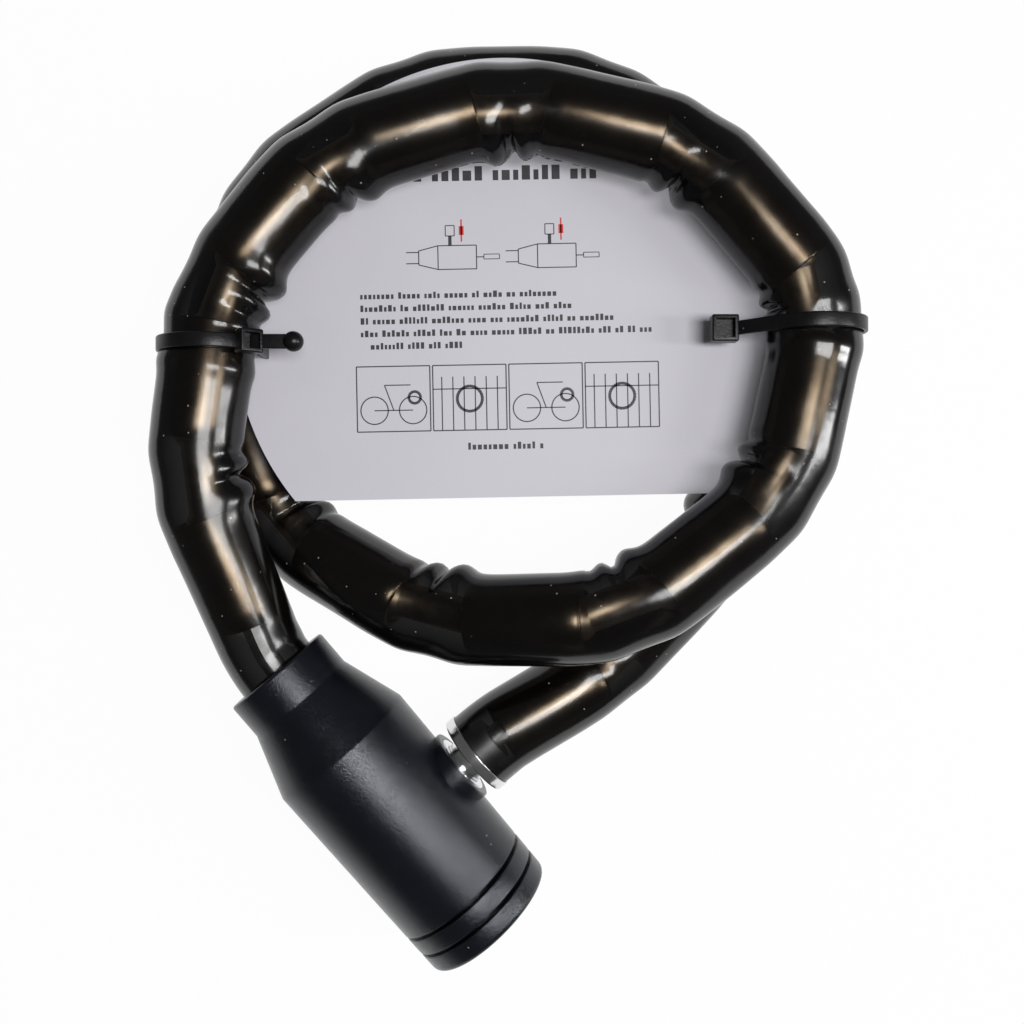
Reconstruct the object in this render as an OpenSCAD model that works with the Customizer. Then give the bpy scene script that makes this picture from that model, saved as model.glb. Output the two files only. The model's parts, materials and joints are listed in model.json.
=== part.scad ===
// Armoured cable lock, coiled and tied round its instruction card.
// Steel sleeves and bobbins are threaded on a rope inside a loose clear sheath. One end is held
// in the lock housing. The other end carries a pin that plugs into the housing's side socket.
//
// The lock lies flat: +Z is up, z = 0 is the surface under it, and the origin is the middle of
// its footprint. Inside the housing, local x runs from the collar's rim to the key end, local y
// along the connector pin, away from the housing, and local z up.

/* [Sheath] */
// Outside diameter of the sheath where it is drawn tight, at both ends
sheath_d = 22; // [21:0.5:24]
// Wall of the sheath
sheath_wall = 1.2; // [0.8:0.1:1.5]
// Width of the sheath where it lies loose
loose_w = 24; // [23:0.5:26]
// Height of the sheath where it lies loose
loose_h = 21; // [21:0.1:21.2]
// Length over which the sheath changes from tight to loose
slack_run = 60; // [30:5:90]
// Length of the bend on each side of a corner of the route
sheath_bend = 13; // [10:1:18]
// Sides of the sheath's outline
sheath_sides = 12; // [10:2:12]

/* [Sleeves and rope] */
// Outside diameter of a sleeve
sleeve_d = 17.6; // [15:0.1:17.8]
// Wall of a sleeve
sleeve_wall = 0.8; // [0.6:0.1:1.2]
// Length of a sleeve
sleeve_l = 31; // [26:0.5:33]
// Length of the drawn-in end of a sleeve
dome_l = 5; // [3:0.5:7]
// Diameter of a sleeve's mouth at its drawn-in end
dome_d = 14.6; // [13.5:0.1:15]
// Diameter of the rope
rope_d = 6.4; // [5:0.1:6.6]
// Sides of the rope's outline
rope_sides = 8; // [8:1:10]
// Diameter of a bobbin's neck
bobbin_neck_d = 9.6; // [9.2:0.1:10]
// Diameter of a bobbin's two balls
bobbin_ball_d = 12.4; // [11:0.1:12.8]
// How far the middle of a bobbin's ball lies inside the sleeve
bobbin_grip = 3; // [2:0.5:4]
// How far a bobbin reaches past the middle of its ball
bobbin_end = 1.5; // [1:0.25:2]

/* [Housing] */
// Where the rim of the collar lies on the floor plan
rim_at = [-61, -46];
// Heading of the housing, from the rim to the key end
housing_heading = -50; // [-60:1:-40]
// How far the key end dips
housing_tilt = 3; // [0:0.5:4]
// How far the connector's axis climbs away from the housing
connector_rise = 0; // [-2:0.5:4]
// Outside diameter of the collar
collar_d = 29.9; // [28:0.1:32]
// Length of the collar
collar_l = 10; // [8:0.5:12]
// Length of the cone between collar and barrel
cone_l = 17; // [14:0.5:20]
// Diameter of the barrel at the cone
barrel_d = 40.8; // [40:0.1:43]
// Diameter of the barrel at the key end
barrel_end_d = 39; // [38.6:0.1:40]
// Length of the cover, from the rim to the first groove
cover_l = 76.5; // [76:0.5:79]
// Wall of the cover over the cone
cover_wall = 2.4; // [1.8:0.1:3]
// Diameter of the bore in the cover's barrel
body_bore_d = 34.8; // [34:0.1:35]
// Gap all round the cable in the collar
collar_gap = 0.5; // [0.4:0.1:1]
// Length of the cable inside the collar
cable_depth = 10; // [8:0.5:11]
// Width of each groove near the key end
groove_w = 0.9; // [0.5:0.1:1.5]
// Depth of each groove
groove_h = 2.3; // [1.5:0.1:2.5]
// Width of the band between the grooves
band_w = 4.9; // [3:0.1:6]
// Length of the end cap behind the second groove
cap_l = 5.6; // [5:0.1:8]
// Radius of the end cap's rounded edge
cap_round = 1.6; // [0.5:0.1:2]
// Diameter of the hole in front of the key slot
key_hole_d = 13.8; // [13.4:0.1:16]

/* [Socket and connector] */
// Distance from the socket's axis to the end of the cover
socket_back = 24.5; // [22.5:0.5:26.5]
// Diameter of the boss round the socket
boss_d = 20.6; // [19:0.1:23]
// How far the boss stands out of the barrel
boss_h = 1.5; // [1:0.1:2.5]
// Outside diameter of the bush in the socket
bush_d = 16.4; // [14.5:0.1:17]
// Length of the bush
bush_l = 4.2; // [3:0.1:5]
// Diameter of the pin's neck
pin_neck_d = 11.8; // [11:0.1:12.4]
// Diameter of the pin's nose
pin_nose_d = 10; // [9.6:0.1:10.4]
// Diameter left in the pin's groove
pin_groove_d = 6.8; // [6:0.1:7]
// Width of the pin's groove
pin_groove_w = 3.4; // [3.4:0.1:4]
// Distance from the housing's axis to the middle of the groove
pin_groove_y = 2.3; // [2:0.1:2.4]
// Distance from the housing's axis to the end of the neck
pin_step_y = 7.6; // [7:0.1:9]
// How far the pin's nose passes the housing's axis
pin_nose_y = 1.5; // [1:0.1:3]
// Distance from the housing's axis to the connector cap
cap_seat_y = 24.9; // [24:0.1:27]
// Outside diameter of the connector cap
cap_d = 22.8; // [22.6:0.1:25]
// Thickness of the connector cap's disc
cap_disc = 1.2; // [0.8:0.1:2]
// Height of the connector cap's lip
cap_lip = 1.7; // [1:0.1:3]
// Diameter of the rope's crimp in the connector
crimp_d = 12.4; // [10:0.1:12.6]
// Length of that crimp
crimp_l = 6.5; // [5:0.5:7]

/* [Lock] */
// Diameter of the plug that the key turns
plug_d = 12.8; // [12:0.1:13]
// Length of the plug
plug_l = 24.8; // [24.6:0.1:25]
// Outside diameter of the shell round the plug
shell_d = 19.2; // [18.4:0.1:20]
// Diameter of the shell's flange
shell_flange_d = 24; // [22:0.5:26]
// Thickness of the shell's flange
shell_flange_l = 1.8; // [1.2:0.1:2]
// Width of the key slot
key_slot_w = 1.2; // [1:0.1:1.6]
// Height of the key slot
key_slot_h = 7.2; // [6:0.1:8]
// Number of wafers
wafers = 5; // [3:1:5]
// Distance between wafers
wafer_pitch = 3.5; // [3:0.1:3.8]
// Thickness of a wafer
wafer_t = 0.8; // [0.6:0.1:1]
// Width of a wafer
wafer_w = 4.6; // [4:0.1:4.8]
// How far a wafer springs out of the plug
wafer_travel = 0.6; // [0.4:0.1:0.7]
// Distance from the plug's axis to its drive peg
peg_throw = 2.7; // [2.6:0.05:2.75]
// Diameter of the drive peg
peg_d = 2; // [1.6:0.1:2.2]
// Diameter of the rope's anchor in the housing
anchor_d = 16; // [14:0.5:18]
// Length of the anchor
anchor_l = 20; // [18:0.5:20]
// Diameter of the pin through the anchor
anchor_pin_d = 4; // [3:0.5:5]

/* [Card and ties] */
// Radius of the card
card_r = 73.2; // [70:0.2:76]
// Thickness of the card
card_t = 0.3; // [0.2:0.05:0.35]
// Distance from the card's centre to its straight edge
card_cut = 45.4; // [40:0.2:50]
// How far the card is turned
card_turn = 1.1; // [0:0.1:3]
// Width of a tie's strap
strap_w = 3.7; // [3:0.1:5]
// Thickness of a tie's strap
strap_t = 1.1; // [0.8:0.1:1.1]
// Width and length of a tie's head
tie_head = 6; // [5.4:0.1:7]
// Height of a tie's head
tie_head_h = 4.4; // [4:0.1:5]

/* [Hidden] */
$fn = 64;
fit = 0.05;
gap = 0.3;
mini = 0.01;

SLEEVES = 19;
// Sleeves from this one on, and the tail of the sheath, follow the connector.
TAIL_FROM = 17;
// The route's corners, one in the middle of each gap between two sleeves: x, y and height.
ROUTE = [
    [-81.5, 5, 33], [-74, 55.5, 33.5], [-47, 88.5, 33.5], [2, 103, 33.5],
    [50.5, 91.5, 33.5], [83.5, 52, 33.5], [72.5, 1.5, 34.5], [31, -30.5, 41],
    [-18.5, -32.5, 27], [-62.5, -9, 10.5], [-80, 38, 11.8], [-66.5, 86.5, 11.8],
    [-25, 114.5, 10.5], [25, 115, 10.5], [64, 84.5, 11.8], [77.5, 36.5, 11.8],
    [62, -11, 11], [26, -48.5, 15.5]
];

// ---- The housing's own axes, seen from the floor plan ----
ch = cos(housing_heading);
sh = sin(housing_heading);
ct = cos(housing_tilt);
st = sin(housing_tilt);
axis_x = [ch * ct, sh * ct, -st];
axis_y = let (v = [st * sin(connector_rise), cos(connector_rise), ct * sin(connector_rise)])
    [ch * v.x - sh * v.y, sh * v.x + ch * v.y, v.z];
axis_z = cross(axis_x, axis_y);
socket_x = cover_l - socket_back;
band_from = cover_l + groove_w;
cap_from = band_from + band_w + groove_w;
housing_l = cap_from + cap_l;
// The end cap's lower edge stands on the floor.
rim_h = (housing_l - cap_round) * st + barrel_end_d / 2 * ct;
rim = [rim_at.x, rim_at.y, rim_h];
function in_room(p) = rim + p.x * axis_x + p.y * axis_y + p.z * axis_z;

// ---- Sizes inside the housing ----
barrel_from = collar_l + cone_l;
barrel_fall = (barrel_d - barrel_end_d) / (housing_l - barrel_from);
function barrel_r(x) = (barrel_d - barrel_fall * (x - barrel_from)) / 2;
collar_bore_r = sheath_d / 2 + collar_gap;
body_bore_r = body_bore_d / 2;
body_r = body_bore_r - fit;
boss_top = barrel_r(socket_x) + boss_h;
bush_bore_r = pin_neck_d / 2 + 2 * fit;
anchor_from = cable_depth + 1;
anchor_pin_x = anchor_from + 14;
nose_from = 20;
nose_r = 12;
body_from = barrel_from + 0.5;
shell_r = shell_d / 2;
plug_r = plug_d / 2;
key_face_x = cap_from + 3;
plug_from = key_face_x - plug_l;
shell_from = plug_from + 0.8;
shell_to = key_face_x - 0.8;
retainer_x = shell_from + 8;
retainer_d = 2.5;
body_to = cover_l - 1;
skirt_r = barrel_end_d / 2 - groove_h + 0.1;
skirt_bore_r = skirt_r - 2;
stroke = 2 * peg_throw * sin(45);
// The drive peg stands 45 degrees above the pin's side at rest and 45 below it when locked.
peg_y = peg_throw * cos(45);
peg_z = peg_throw * sin(45);
blade_x = socket_x + pin_groove_d / 2 + gap;
plate_from = plug_from - 2;
plate_to = plug_from - gap;
blade_w = pin_groove_w - 0.4;
wafer_from = plug_from + 4.8;
wafer_h = 2 * sqrt(pow(plug_r - 0.1, 2) - pow(wafer_w / 2, 2));

// ---- Tubes along a route ----
function unit(v) = v / norm(v);
function smooth(t) = let (u = min(1, max(0, t))) u * u * (3 - 2 * u);
function sum_to(list, n) = n <= 0 ? 0 : list[n - 1] + sum_to(list, n - 1);
// A station is [point, direction]. A corner becomes three stations: into, over and out of the bend.
function corner(a, b, c, run) = let (
        into = unit(b - a), out = unit(c - b),
        reach = min(run, norm(b - a) * 0.48, norm(c - b) * 0.48),
        p = b - reach * into, q = b + reach * out)
    [[p, into], [(p + 2 * b + q) / 4, unit(q - p)], [q, out]];
function stations(points, run) = let (n = len(points)) concat(
    [[points[0], unit(points[1] - points[0])]],
    [for (i = [1 : n - 2]) each corner(points[i - 1], points[i], points[i + 1], run)],
    [[points[n - 1], unit(points[n - 1] - points[n - 2])]]);
function gone(st) = [for (i = 1, s = 0; i <= len(st);
    s = s + (i < len(st) ? norm(st[i][0] - st[i - 1][0]) : 0), i = i + 1) s];
function ring(station, w, h, sides) = let (
        side = unit(cross(station[1], [0, 0, 1])), up = cross(side, station[1]))
    [for (k = [0 : sides - 1]) let (a = 360 * k / sides)
        station[0] + w / 2 * cos(a) * side + h / 2 * sin(a) * up];
function skin(rings, sides, first, flip) = [for (j = [0 : rings - 2], k = [0 : sides - 1]) let (
        a = first + j * sides + k, b = first + j * sides + (k + 1) % sides)
    each flip ? [[a, a + sides, b], [b, a + sides, b + sides]]
              : [[a, b, a + sides], [b, b + sides, a + sides]]];
function washer(sides, outer, inner, flip) = [for (k = [0 : sides - 1]) let (
        m = (k + 1) % sides)
    each flip ? [[outer + k, inner + k, outer + m], [outer + m, inner + k, inner + m]]
              : [[outer + k, outer + m, inner + k], [outer + m, inner + m, inner + k]]];
function disc(sides, first, flip) = [for (k = [1 : sides - 2])
    flip ? [first, first + k, first + k + 1] : [first, first + k + 1, first + k]];

module hose(st, sizes, wall, sides) {
    n = len(st);
    outer = [for (i = [0 : n - 1]) each ring(st[i], sizes[i][0], sizes[i][1], sides)];
    inner = [for (i = [0 : n - 1])
        each ring(st[i], sizes[i][0] - 2 * wall, sizes[i][1] - 2 * wall, sides)];
    m = n * sides;
    polyhedron(concat(outer, inner), concat(
        skin(n, sides, 0, true), skin(n, sides, m, false),
        washer(sides, 0, m, false), washer(sides, m - sides, 2 * m - sides, true)));
}

module cord(st, d, sides) {
    n = len(st);
    polyhedron([for (s = st) each ring(s, d, d, sides)], concat(
        skin(n, sides, 0, true), disc(sides, 0, true), disc(sides, (n - 1) * sides, false)));
}

// ---- The cable's way ----
first_neck_out = 4;
last_neck_out = 9;
cable_in = in_room([cable_depth, 0, 0]);
first_corner = in_room([-first_neck_out, 0, 0]);
cable_out = in_room([socket_x, cap_seat_y + cap_disc + fit, 0]);
last_corner = cable_out + last_neck_out * axis_y;
CORNERS = concat([first_corner], ROUTE, [last_corner]);
// The sheath and the rope are parted in the middle of the last sleeve that keeps still.
split = (CORNERS[TAIL_FROM - 1] + CORNERS[TAIL_FROM - 2]) / 2;
head_points = concat([cable_in], [for (i = [0 : TAIL_FROM - 2]) CORNERS[i]], [split]);
tail_points = concat([split], [for (i = [TAIL_FROM - 1 : len(CORNERS) - 1]) CORNERS[i]], [cable_out]);
head_st = stations(head_points, sheath_bend);
tail_st = stations(tail_points, sheath_bend);
head_gone = gone(head_st);
tail_gone = gone(tail_st);
tail_l = tail_gone[len(tail_gone) - 1];
function sheath_size(run) = let (t = smooth(run / slack_run))
    [sheath_d + (loose_w - sheath_d) * t, sheath_d + (loose_h - sheath_d) * t];
head_sizes = [for (g = head_gone) sheath_size(g - cable_depth)];
tail_sizes = [for (g = tail_gone) sheath_size(tail_l - g - cable_depth)];
cable_length = head_gone[len(head_gone) - 1] + tail_l;
echo(cable_length_mm = cable_length);

// The least gap of the sheath to itself, measured between its ellipses at points along it.
function reach(way, size) = norm([norm([way.x, way.y]) * size[0] / 2, way.z * size[1] / 2]);
all_st = concat(head_st, tail_st);
all_sizes = concat(head_sizes, tail_sizes);
function between(i, t) = all_st[i][0] + (all_st[i + 1][0] - all_st[i][0]) * t;
SAMPLES = [for (i = [0 : len(all_st) - 2]) if (norm(all_st[i + 1][0] - all_st[i][0]) > mini)
    each [for (t = [0 : 0.25 : 0.75]) [i, between(i, t)]]];
least_gap = min([for (a = [0 : 2 : len(SAMPLES) - 1], b = [a + 1 : len(SAMPLES) - 1])
    if (SAMPLES[b][0] - SAMPLES[a][0] > 5) let (d = SAMPLES[b][1] - SAMPLES[a][1])
        norm(d) - reach(unit(d), all_sizes[SAMPLES[a][0]]) - reach(unit(d), all_sizes[SAMPLES[b][0]])]);
echo(least_gap_of_sheath_mm = least_gap);
echo(socket_axis_point = in_room([socket_x, 0, 0]), key_end = in_room([housing_l, 0, 0]));
echo(axis_x = axis_x, axis_y = axis_y, axis_z = axis_z, rim = rim);

// ---- Placing ----
module in_housing() multmatrix([
    [axis_x.x, axis_y.x, axis_z.x, rim.x],
    [axis_x.y, axis_y.y, axis_z.y, rim.y],
    [axis_x.z, axis_y.z, axis_z.z, rim.z]]) children();
module along_x(x = 0) translate([x, 0, 0]) rotate([0, 90, 0]) children();
module along_y(y = 0) translate([socket_x, y, 0]) rotate([-90, 0, 0]) children();
// Stands a solid that was drawn along +Z at a, heading for b.
module towards(a, b) {
    d = b - a;
    translate(a) rotate([0, acos(d.z / norm(d)), atan2(d.y, d.x)]) children();
}
module turned_ring(outer, inner, l) difference() {
    cylinder(r = outer, h = l);
    translate([0, 0, -1]) cylinder(r = inner, h = l + 2);
}

// ---- Housing ----
module housing_cover() color("#1b1c20") in_housing() difference() {
    union() {
        along_x() cylinder(d = collar_d, h = collar_l);
        along_x(collar_l) cylinder(d1 = collar_d, d2 = barrel_d, h = cone_l);
        along_x(barrel_from) cylinder(r1 = barrel_r(barrel_from), r2 = barrel_r(cover_l),
            h = cover_l - barrel_from);
        along_y() cylinder(d = boss_d, h = boss_top);
    }
    along_x(-1) cylinder(r = collar_bore_r, h = cover_l);
    along_x(collar_l + 2) cylinder(h = cone_l - 2 + mini, r2 = body_bore_r,
        r1 = collar_d / 2 + (barrel_d - collar_d) / cone_l - cover_wall);
    along_x(barrel_from) cylinder(r = body_bore_r, h = cover_l);
    along_y() cylinder(d = bush_d + 2 * fit, h = boss_top + 1);
}

module cover_band() color("#17181b") in_housing() along_x(band_from) difference() {
    cylinder(r1 = barrel_r(band_from), r2 = barrel_r(band_from + band_w), h = band_w);
    translate([0, 0, -1]) cylinder(r = skirt_r + fit, h = band_w + 2);
}

module end_cap() color("#17181b") in_housing() along_x() {
    r = barrel_r(cap_from);
    difference() {
        rotate_extrude() union() {
            translate([0, cap_from]) square([r, cap_l - cap_round]);
            translate([0, cap_from]) square([r - cap_round, cap_l]);
            translate([r - cap_round, housing_l - cap_round]) circle(r = cap_round);
            translate([0, cover_l + 0.1]) square([skirt_r, cap_from - cover_l]);
        }
        translate([0, 0, cover_l - 1]) cylinder(r = skirt_bore_r, h = cap_from - cover_l + 1);
        translate([0, 0, cap_from - 1]) cylinder(d = shell_flange_d + 4 * fit,
            h = key_face_x - cap_from + 1.1);
        translate([0, 0, cap_from]) cylinder(d = key_hole_d, h = cap_l + 1);
    }
}

module socket_bush() color("#8d8f92") in_housing() along_y(boss_top - bush_l + 0.2)
    turned_ring(bush_d / 2, bush_bore_r, bush_l);

module bolt_pocket() {
    translate([plate_from - 0.1, -1.1, peg_z - 2.5 - stroke - 0.2])
        cube([plug_from - plate_from + 0.1, 6.7, 12 + stroke]);
    translate([socket_x, pin_groove_y - blade_w / 2 - 0.1, -0.2])
        cube([plate_from - socket_x, blade_w + 0.2, 9.8]);
}

module lock_body() color("#9ea1a4") in_housing() difference() {
    union() {
        along_x(body_from) cylinder(r = body_r, h = body_to - body_from);
        along_x(nose_from) cylinder(r = nose_r, h = body_from - nose_from + 1);
    }
    along_x(nose_from - 1) cylinder(d = anchor_d + 2 * fit, h = anchor_from + anchor_l - nose_from + 1.1);
    translate([anchor_pin_x, 0, -nose_r - 9]) cylinder(d = anchor_pin_d + 2 * fit, h = 2 * nose_r + 18);
    along_y(-pin_nose_y - 0.7) cylinder(d = pin_nose_d + 2 * fit, h = 30);
    along_y(pin_step_y - 0.4) cylinder(d = pin_neck_d + 2 * fit, h = 30);
    along_y(boss_top - bush_l) cylinder(d = bush_d + 2 * fit, h = 10);
    bolt_pocket();
    along_x(plug_from - gap) cylinder(r = plug_r + 1.4, h = shell_from - plug_from + gap + 0.1);
    along_x(shell_from) cylinder(r = shell_r + fit, h = body_to);
    translate([retainer_x, 0, shell_r - 3]) cylinder(d = retainer_d + 2 * fit, h = 2 * shell_r);
}

module cylinder_shell() color("#b79c5a") in_housing() difference() {
    union() {
        along_x(shell_from) cylinder(r = shell_r, h = shell_to - shell_from);
        along_x(shell_to - shell_flange_l) cylinder(d = shell_flange_d, h = shell_flange_l);
    }
    along_x(shell_from - 1) cylinder(r = plug_r + fit, h = shell_to);
    for (turn = [0, -90]) rotate([turn, 0, 0])
        translate([shell_from - 1, -wafer_w / 2 - 0.2, 0])
            cube([shell_to - shell_from - shell_flange_l + 1, wafer_w + 0.4, plug_r + wafer_travel + gap]);
    translate([retainer_x, 0, shell_r - 1.4]) cylinder(d = retainer_d + 2 * fit, h = 5);
}

module cylinder_pin() color("#c9cbcd") in_housing()
    translate([retainer_x, 0, shell_r - 1.3]) cylinder(d = retainer_d, h = body_r - shell_r - 0.6);

module cable_anchor() color("#77797c") in_housing() difference() {
    along_x(anchor_from) cylinder(d = anchor_d, h = anchor_l);
    along_x(anchor_from - 1) cylinder(d = rope_d + 2 * fit, h = 12);
    translate([anchor_pin_x, 0, -anchor_d]) cylinder(d = anchor_pin_d + 2 * fit, h = 2 * anchor_d);
}

module anchor_pin() color("#c9cbcd") in_housing()
    translate([anchor_pin_x, 0, -nose_r + 0.5]) cylinder(d = anchor_pin_d, h = 2 * nose_r - 1);

// ---- Lock ----
function wafer_x(i) = wafer_from + (i - 1) * wafer_pitch;

module plug() color("#d3b768") in_housing() difference() {
    union() {
        along_x(plug_from) cylinder(r = plug_r, h = plug_l);
        translate([plate_from + 0.1, peg_y, peg_z]) rotate([0, 90, 0])
            cylinder(d = peg_d, h = plug_from - plate_from);
    }
    translate([plug_from + 3, -key_slot_w / 2, -key_slot_h / 2])
        cube([plug_l, key_slot_w, key_slot_h]);
    for (i = [1 : wafers]) translate([wafer_x(i) - wafer_t / 2 - fit, -wafer_w / 2 - fit, -plug_r])
        cube([wafer_t + 2 * fit, wafer_w + 2 * fit, 2 * plug_r]);
    for (i = [1 : wafers]) translate([wafer_x(i), wafer_w / 2 + 1.1, -2.6]) cylinder(d = 1.2, h = 4.8);
    along_x(plug_from + 0.1) turned_ring(plug_r + 1, plug_r - 0.8, 0.6);
}

module plug_clip() color("#85888b") in_housing() along_x(plug_from + 0.15) difference() {
    turned_ring(plug_r + 1.1, plug_r - 0.75, 0.5);
    translate([0, -1.5, -1]) cube([2 * plug_r, 3, 3]);
}

module wafer(i) color("#e0c982") in_housing() difference() {
    translate([wafer_x(i) - wafer_t / 2, -wafer_w / 2, -wafer_h / 2]) cube([wafer_t, wafer_w, wafer_h]);
    translate([wafer_x(i) - 1, -key_slot_w / 2 - 0.2, -key_slot_h / 2 + 0.2])
        cube([2, key_slot_w + 0.4, key_slot_h - 0.4]);
}

module wafer_springs() color("#b9bcc0") in_housing() for (i = [1 : wafers])
    translate([wafer_x(i), wafer_w / 2 + 1.1, -2.5]) cylinder(d = 1, h = 4.6);

module locking_bolt() color("#a9acaf") in_housing() difference() {
    union() {
        translate([plate_from, -1, peg_z - 2.5]) cube([plate_to - plate_from, 6.5, 10.4]);
        translate([blade_x, pin_groove_y - blade_w / 2, stroke])
            cube([plate_to - blade_x, blade_w, 5.6]);
    }
    translate([plate_from - 1, peg_y - peg_d / 2 - 0.4, peg_z - peg_d / 2 - 0.15])
        cube([3, peg_d + 0.8 + peg_throw - peg_y, peg_d + 0.3]);
}

// ---- Connector ----
module lock_pin() color("#d9dbdd") in_housing() along_y() rotate_extrude() {
    nose_r2 = pin_nose_d / 2;
    polygon([
        [0, -pin_nose_y], [nose_r2 - 1, -pin_nose_y], [nose_r2, -pin_nose_y + 1],
        [nose_r2, pin_groove_y - pin_groove_w / 2], [pin_groove_d / 2, pin_groove_y - pin_groove_w / 2],
        [pin_groove_d / 2, pin_groove_y + pin_groove_w / 2], [nose_r2, pin_groove_y + pin_groove_w / 2],
        [nose_r2, pin_step_y], [pin_neck_d / 2, pin_step_y], [pin_neck_d / 2, cap_seat_y],
        [0, cap_seat_y]
    ]);
}

module connector_cap() color("#cfd1d2") in_housing() along_y(cap_seat_y) rotate_extrude() {
    r = cap_d / 2;
    lip_r = sheath_d / 2 + fit;
    square([r - 0.4, cap_disc]);
    translate([r - 0.4, 0.4]) circle(r = 0.4);
    translate([lip_r, 0.4]) square([r - lip_r, cap_disc + cap_lip - 0.4]);
}

module pin_ferrule() color("#8b8e90") in_housing() along_y(cap_seat_y + cap_disc) difference() {
    cylinder(d = crimp_d, h = crimp_l);
    translate([0, 0, 1]) cylinder(d = rope_d + 2 * fit, h = crimp_l);
}

// ---- Cable ----
module sheath() color("#3a3129") hose(head_st, head_sizes, sheath_wall, sheath_sides);
module sheath_tail() color("#3a3129") hose(tail_st, tail_sizes, sheath_wall, sheath_sides);

// The rope runs straight through each sleeve and each bobbin, and turns at the bobbin's balls.
rope_in = in_room([anchor_from + 10.5, 0, 0]);
rope_out = in_room([socket_x, cap_seat_y + cap_disc + 1.2, 0]);
rope_bend = 4;
split_way = unit(CORNERS[TAIL_FROM - 1] - CORNERS[TAIL_FROM - 2]);
function sleeve_way(i) = unit(CORNERS[i] - CORNERS[i - 1]);
function neck_run(i) = (norm(CORNERS[i] - CORNERS[i - 1]) - sleeve_l) / 2 + bobbin_grip;
function bobbin_from(i) = CORNERS[i] - neck_run(i) * sleeve_way(i);
function bobbin_to(i) = CORNERS[i] + neck_run(i + 1) * sleeve_way(i + 1);
function rope_turn(i) = let (a = bobbin_from(i), b = bobbin_to(i), along = unit(b - a))
    [[a, unit(sleeve_way(i) + along)], [b, unit(along + sleeve_way(i + 1))]];
module core_rope() color("#6f7275") cord(concat(
    [[rope_in, unit(first_corner - rope_in)]],
    corner(rope_in, first_corner, CORNERS[1], rope_bend),
    [for (i = [1 : TAIL_FROM - 2]) each rope_turn(i)], [[split, split_way]]), rope_d, rope_sides);
module core_rope_tail() color("#6f7275") cord(concat(
    [[split, split_way]], [for (i = [TAIL_FROM - 1 : SLEEVES - 1]) each rope_turn(i)],
    corner(CORNERS[SLEEVES - 1], last_corner, rope_out, rope_bend),
    [[rope_out, unit(rope_out - last_corner)]]), rope_d, rope_sides);

// A sleeve lies in the middle of its stretch, with its drawn-in end towards the housing.
module sleeve(i) {
    a = CORNERS[i - 1];
    b = CORNERS[i];
    r = sleeve_d / 2;
    drop = r - dome_d / 2;
    arc = [for (k = [0 : 5]) let (t = 18 * k) [r - drop * (1 - sin(t)), dome_l * (1 - cos(t))]];
    color("#8a8070") towards(a, b) translate([0, 0, (norm(b - a) - sleeve_l) / 2]) rotate_extrude()
        polygon(concat(arc, [[r, sleeve_l], [r - sleeve_wall, sleeve_l]],
            [for (k = [5 : -1 : 0]) [arc[k].x - sleeve_wall, max(0, arc[k].y)]]));
}

// A bobbin joins the ends of two sleeves across a corner.
module bobbin(i) {
    a = bobbin_from(i);
    b = bobbin_to(i);
    l = norm(b - a);
    rb = bobbin_ball_d / 2;
    towards(a, b) difference() {
        union() {
            cylinder(d = bobbin_neck_d, h = l);
            intersection() {
                union() {
                    sphere(r = rb);
                    translate([0, 0, l]) sphere(r = rb);
                }
                translate([0, 0, -bobbin_end]) cylinder(r = rb, h = l + 2 * bobbin_end);
            }
        }
        translate([0, 0, -rb]) cylinder(d = bobbin_neck_d - 1, h = l + 2 * rb);
    }
}

module neck_bobbins() color("#6d675c") for (i = [1 : TAIL_FROM - 2]) bobbin(i);
module neck_bobbins_tail() color("#6d675c") for (i = [TAIL_FROM - 1 : SLEEVES - 1]) bobbin(i);

// ---- Card and ties ----
card_at = [0.3, 45.8];
card_z = 22.45;
tie_left_y = 39.5;
tie_right_y = 44.5;

// Where the cable crosses the plane y, in order from the housing: left and right of the upper
// loop, then left and right of the lower one.
function crossings(y) = [for (i = [0 : len(all_st) - 2])
    let (p = all_st[i][0], q = all_st[i + 1][0])
    if ((p.y - y) * (q.y - y) < 0) p + (q - p) * (y - p.y) / (q.y - p.y)];
left_at = crossings(tie_left_y);
right_at = crossings(tie_right_y);
left_top = left_at[0];
left_low = left_at[2];
right_top = right_at[1];
right_low = right_at[3];
strap_gap = 0.5;
// The right tie's head lies on the card, this far inside the lower loop.
right_head_x = right_low.x - 17;
right_head_z = card_z + card_t + gap + tie_head_h / 2;
right_turn_r = 1.2;
slot_l = strap_t + 0.8;
// The right strap runs slanting through its slot, which is longer by this.
slot_slant = 1.6;

// The outline that a strap is drawn round, grown by g: the two cables, and a turn at the head.
module cable_outline(c, g) translate([c.x, c.z])
    scale([loose_w / 2 + g, loose_h / 2 + g]) circle(r = 1, $fn = 48);
module strap_outline(top, low, g, turn) hull() {
    cable_outline(top, g);
    cable_outline(low, g);
    if (turn) translate([right_head_x, right_head_z]) circle(r = right_turn_r + g, $fn = 24);
}
module strap(top, low, y, turn) translate([0, y + strap_w / 2, 0]) rotate([90, 0, 0])
    linear_extrude(strap_w) difference() {
        strap_outline(top, low, strap_gap + strap_t, turn);
        strap_outline(top, low, strap_gap, turn);
    }
module tie_head_block() difference() {
    cube([tie_head, tie_head, tie_head_h], center = true);
    translate([0, 0, tie_head_h - 1.2]) cube([tie_head - 2, tie_head - 2.4, tie_head_h], center = true);
}

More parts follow.
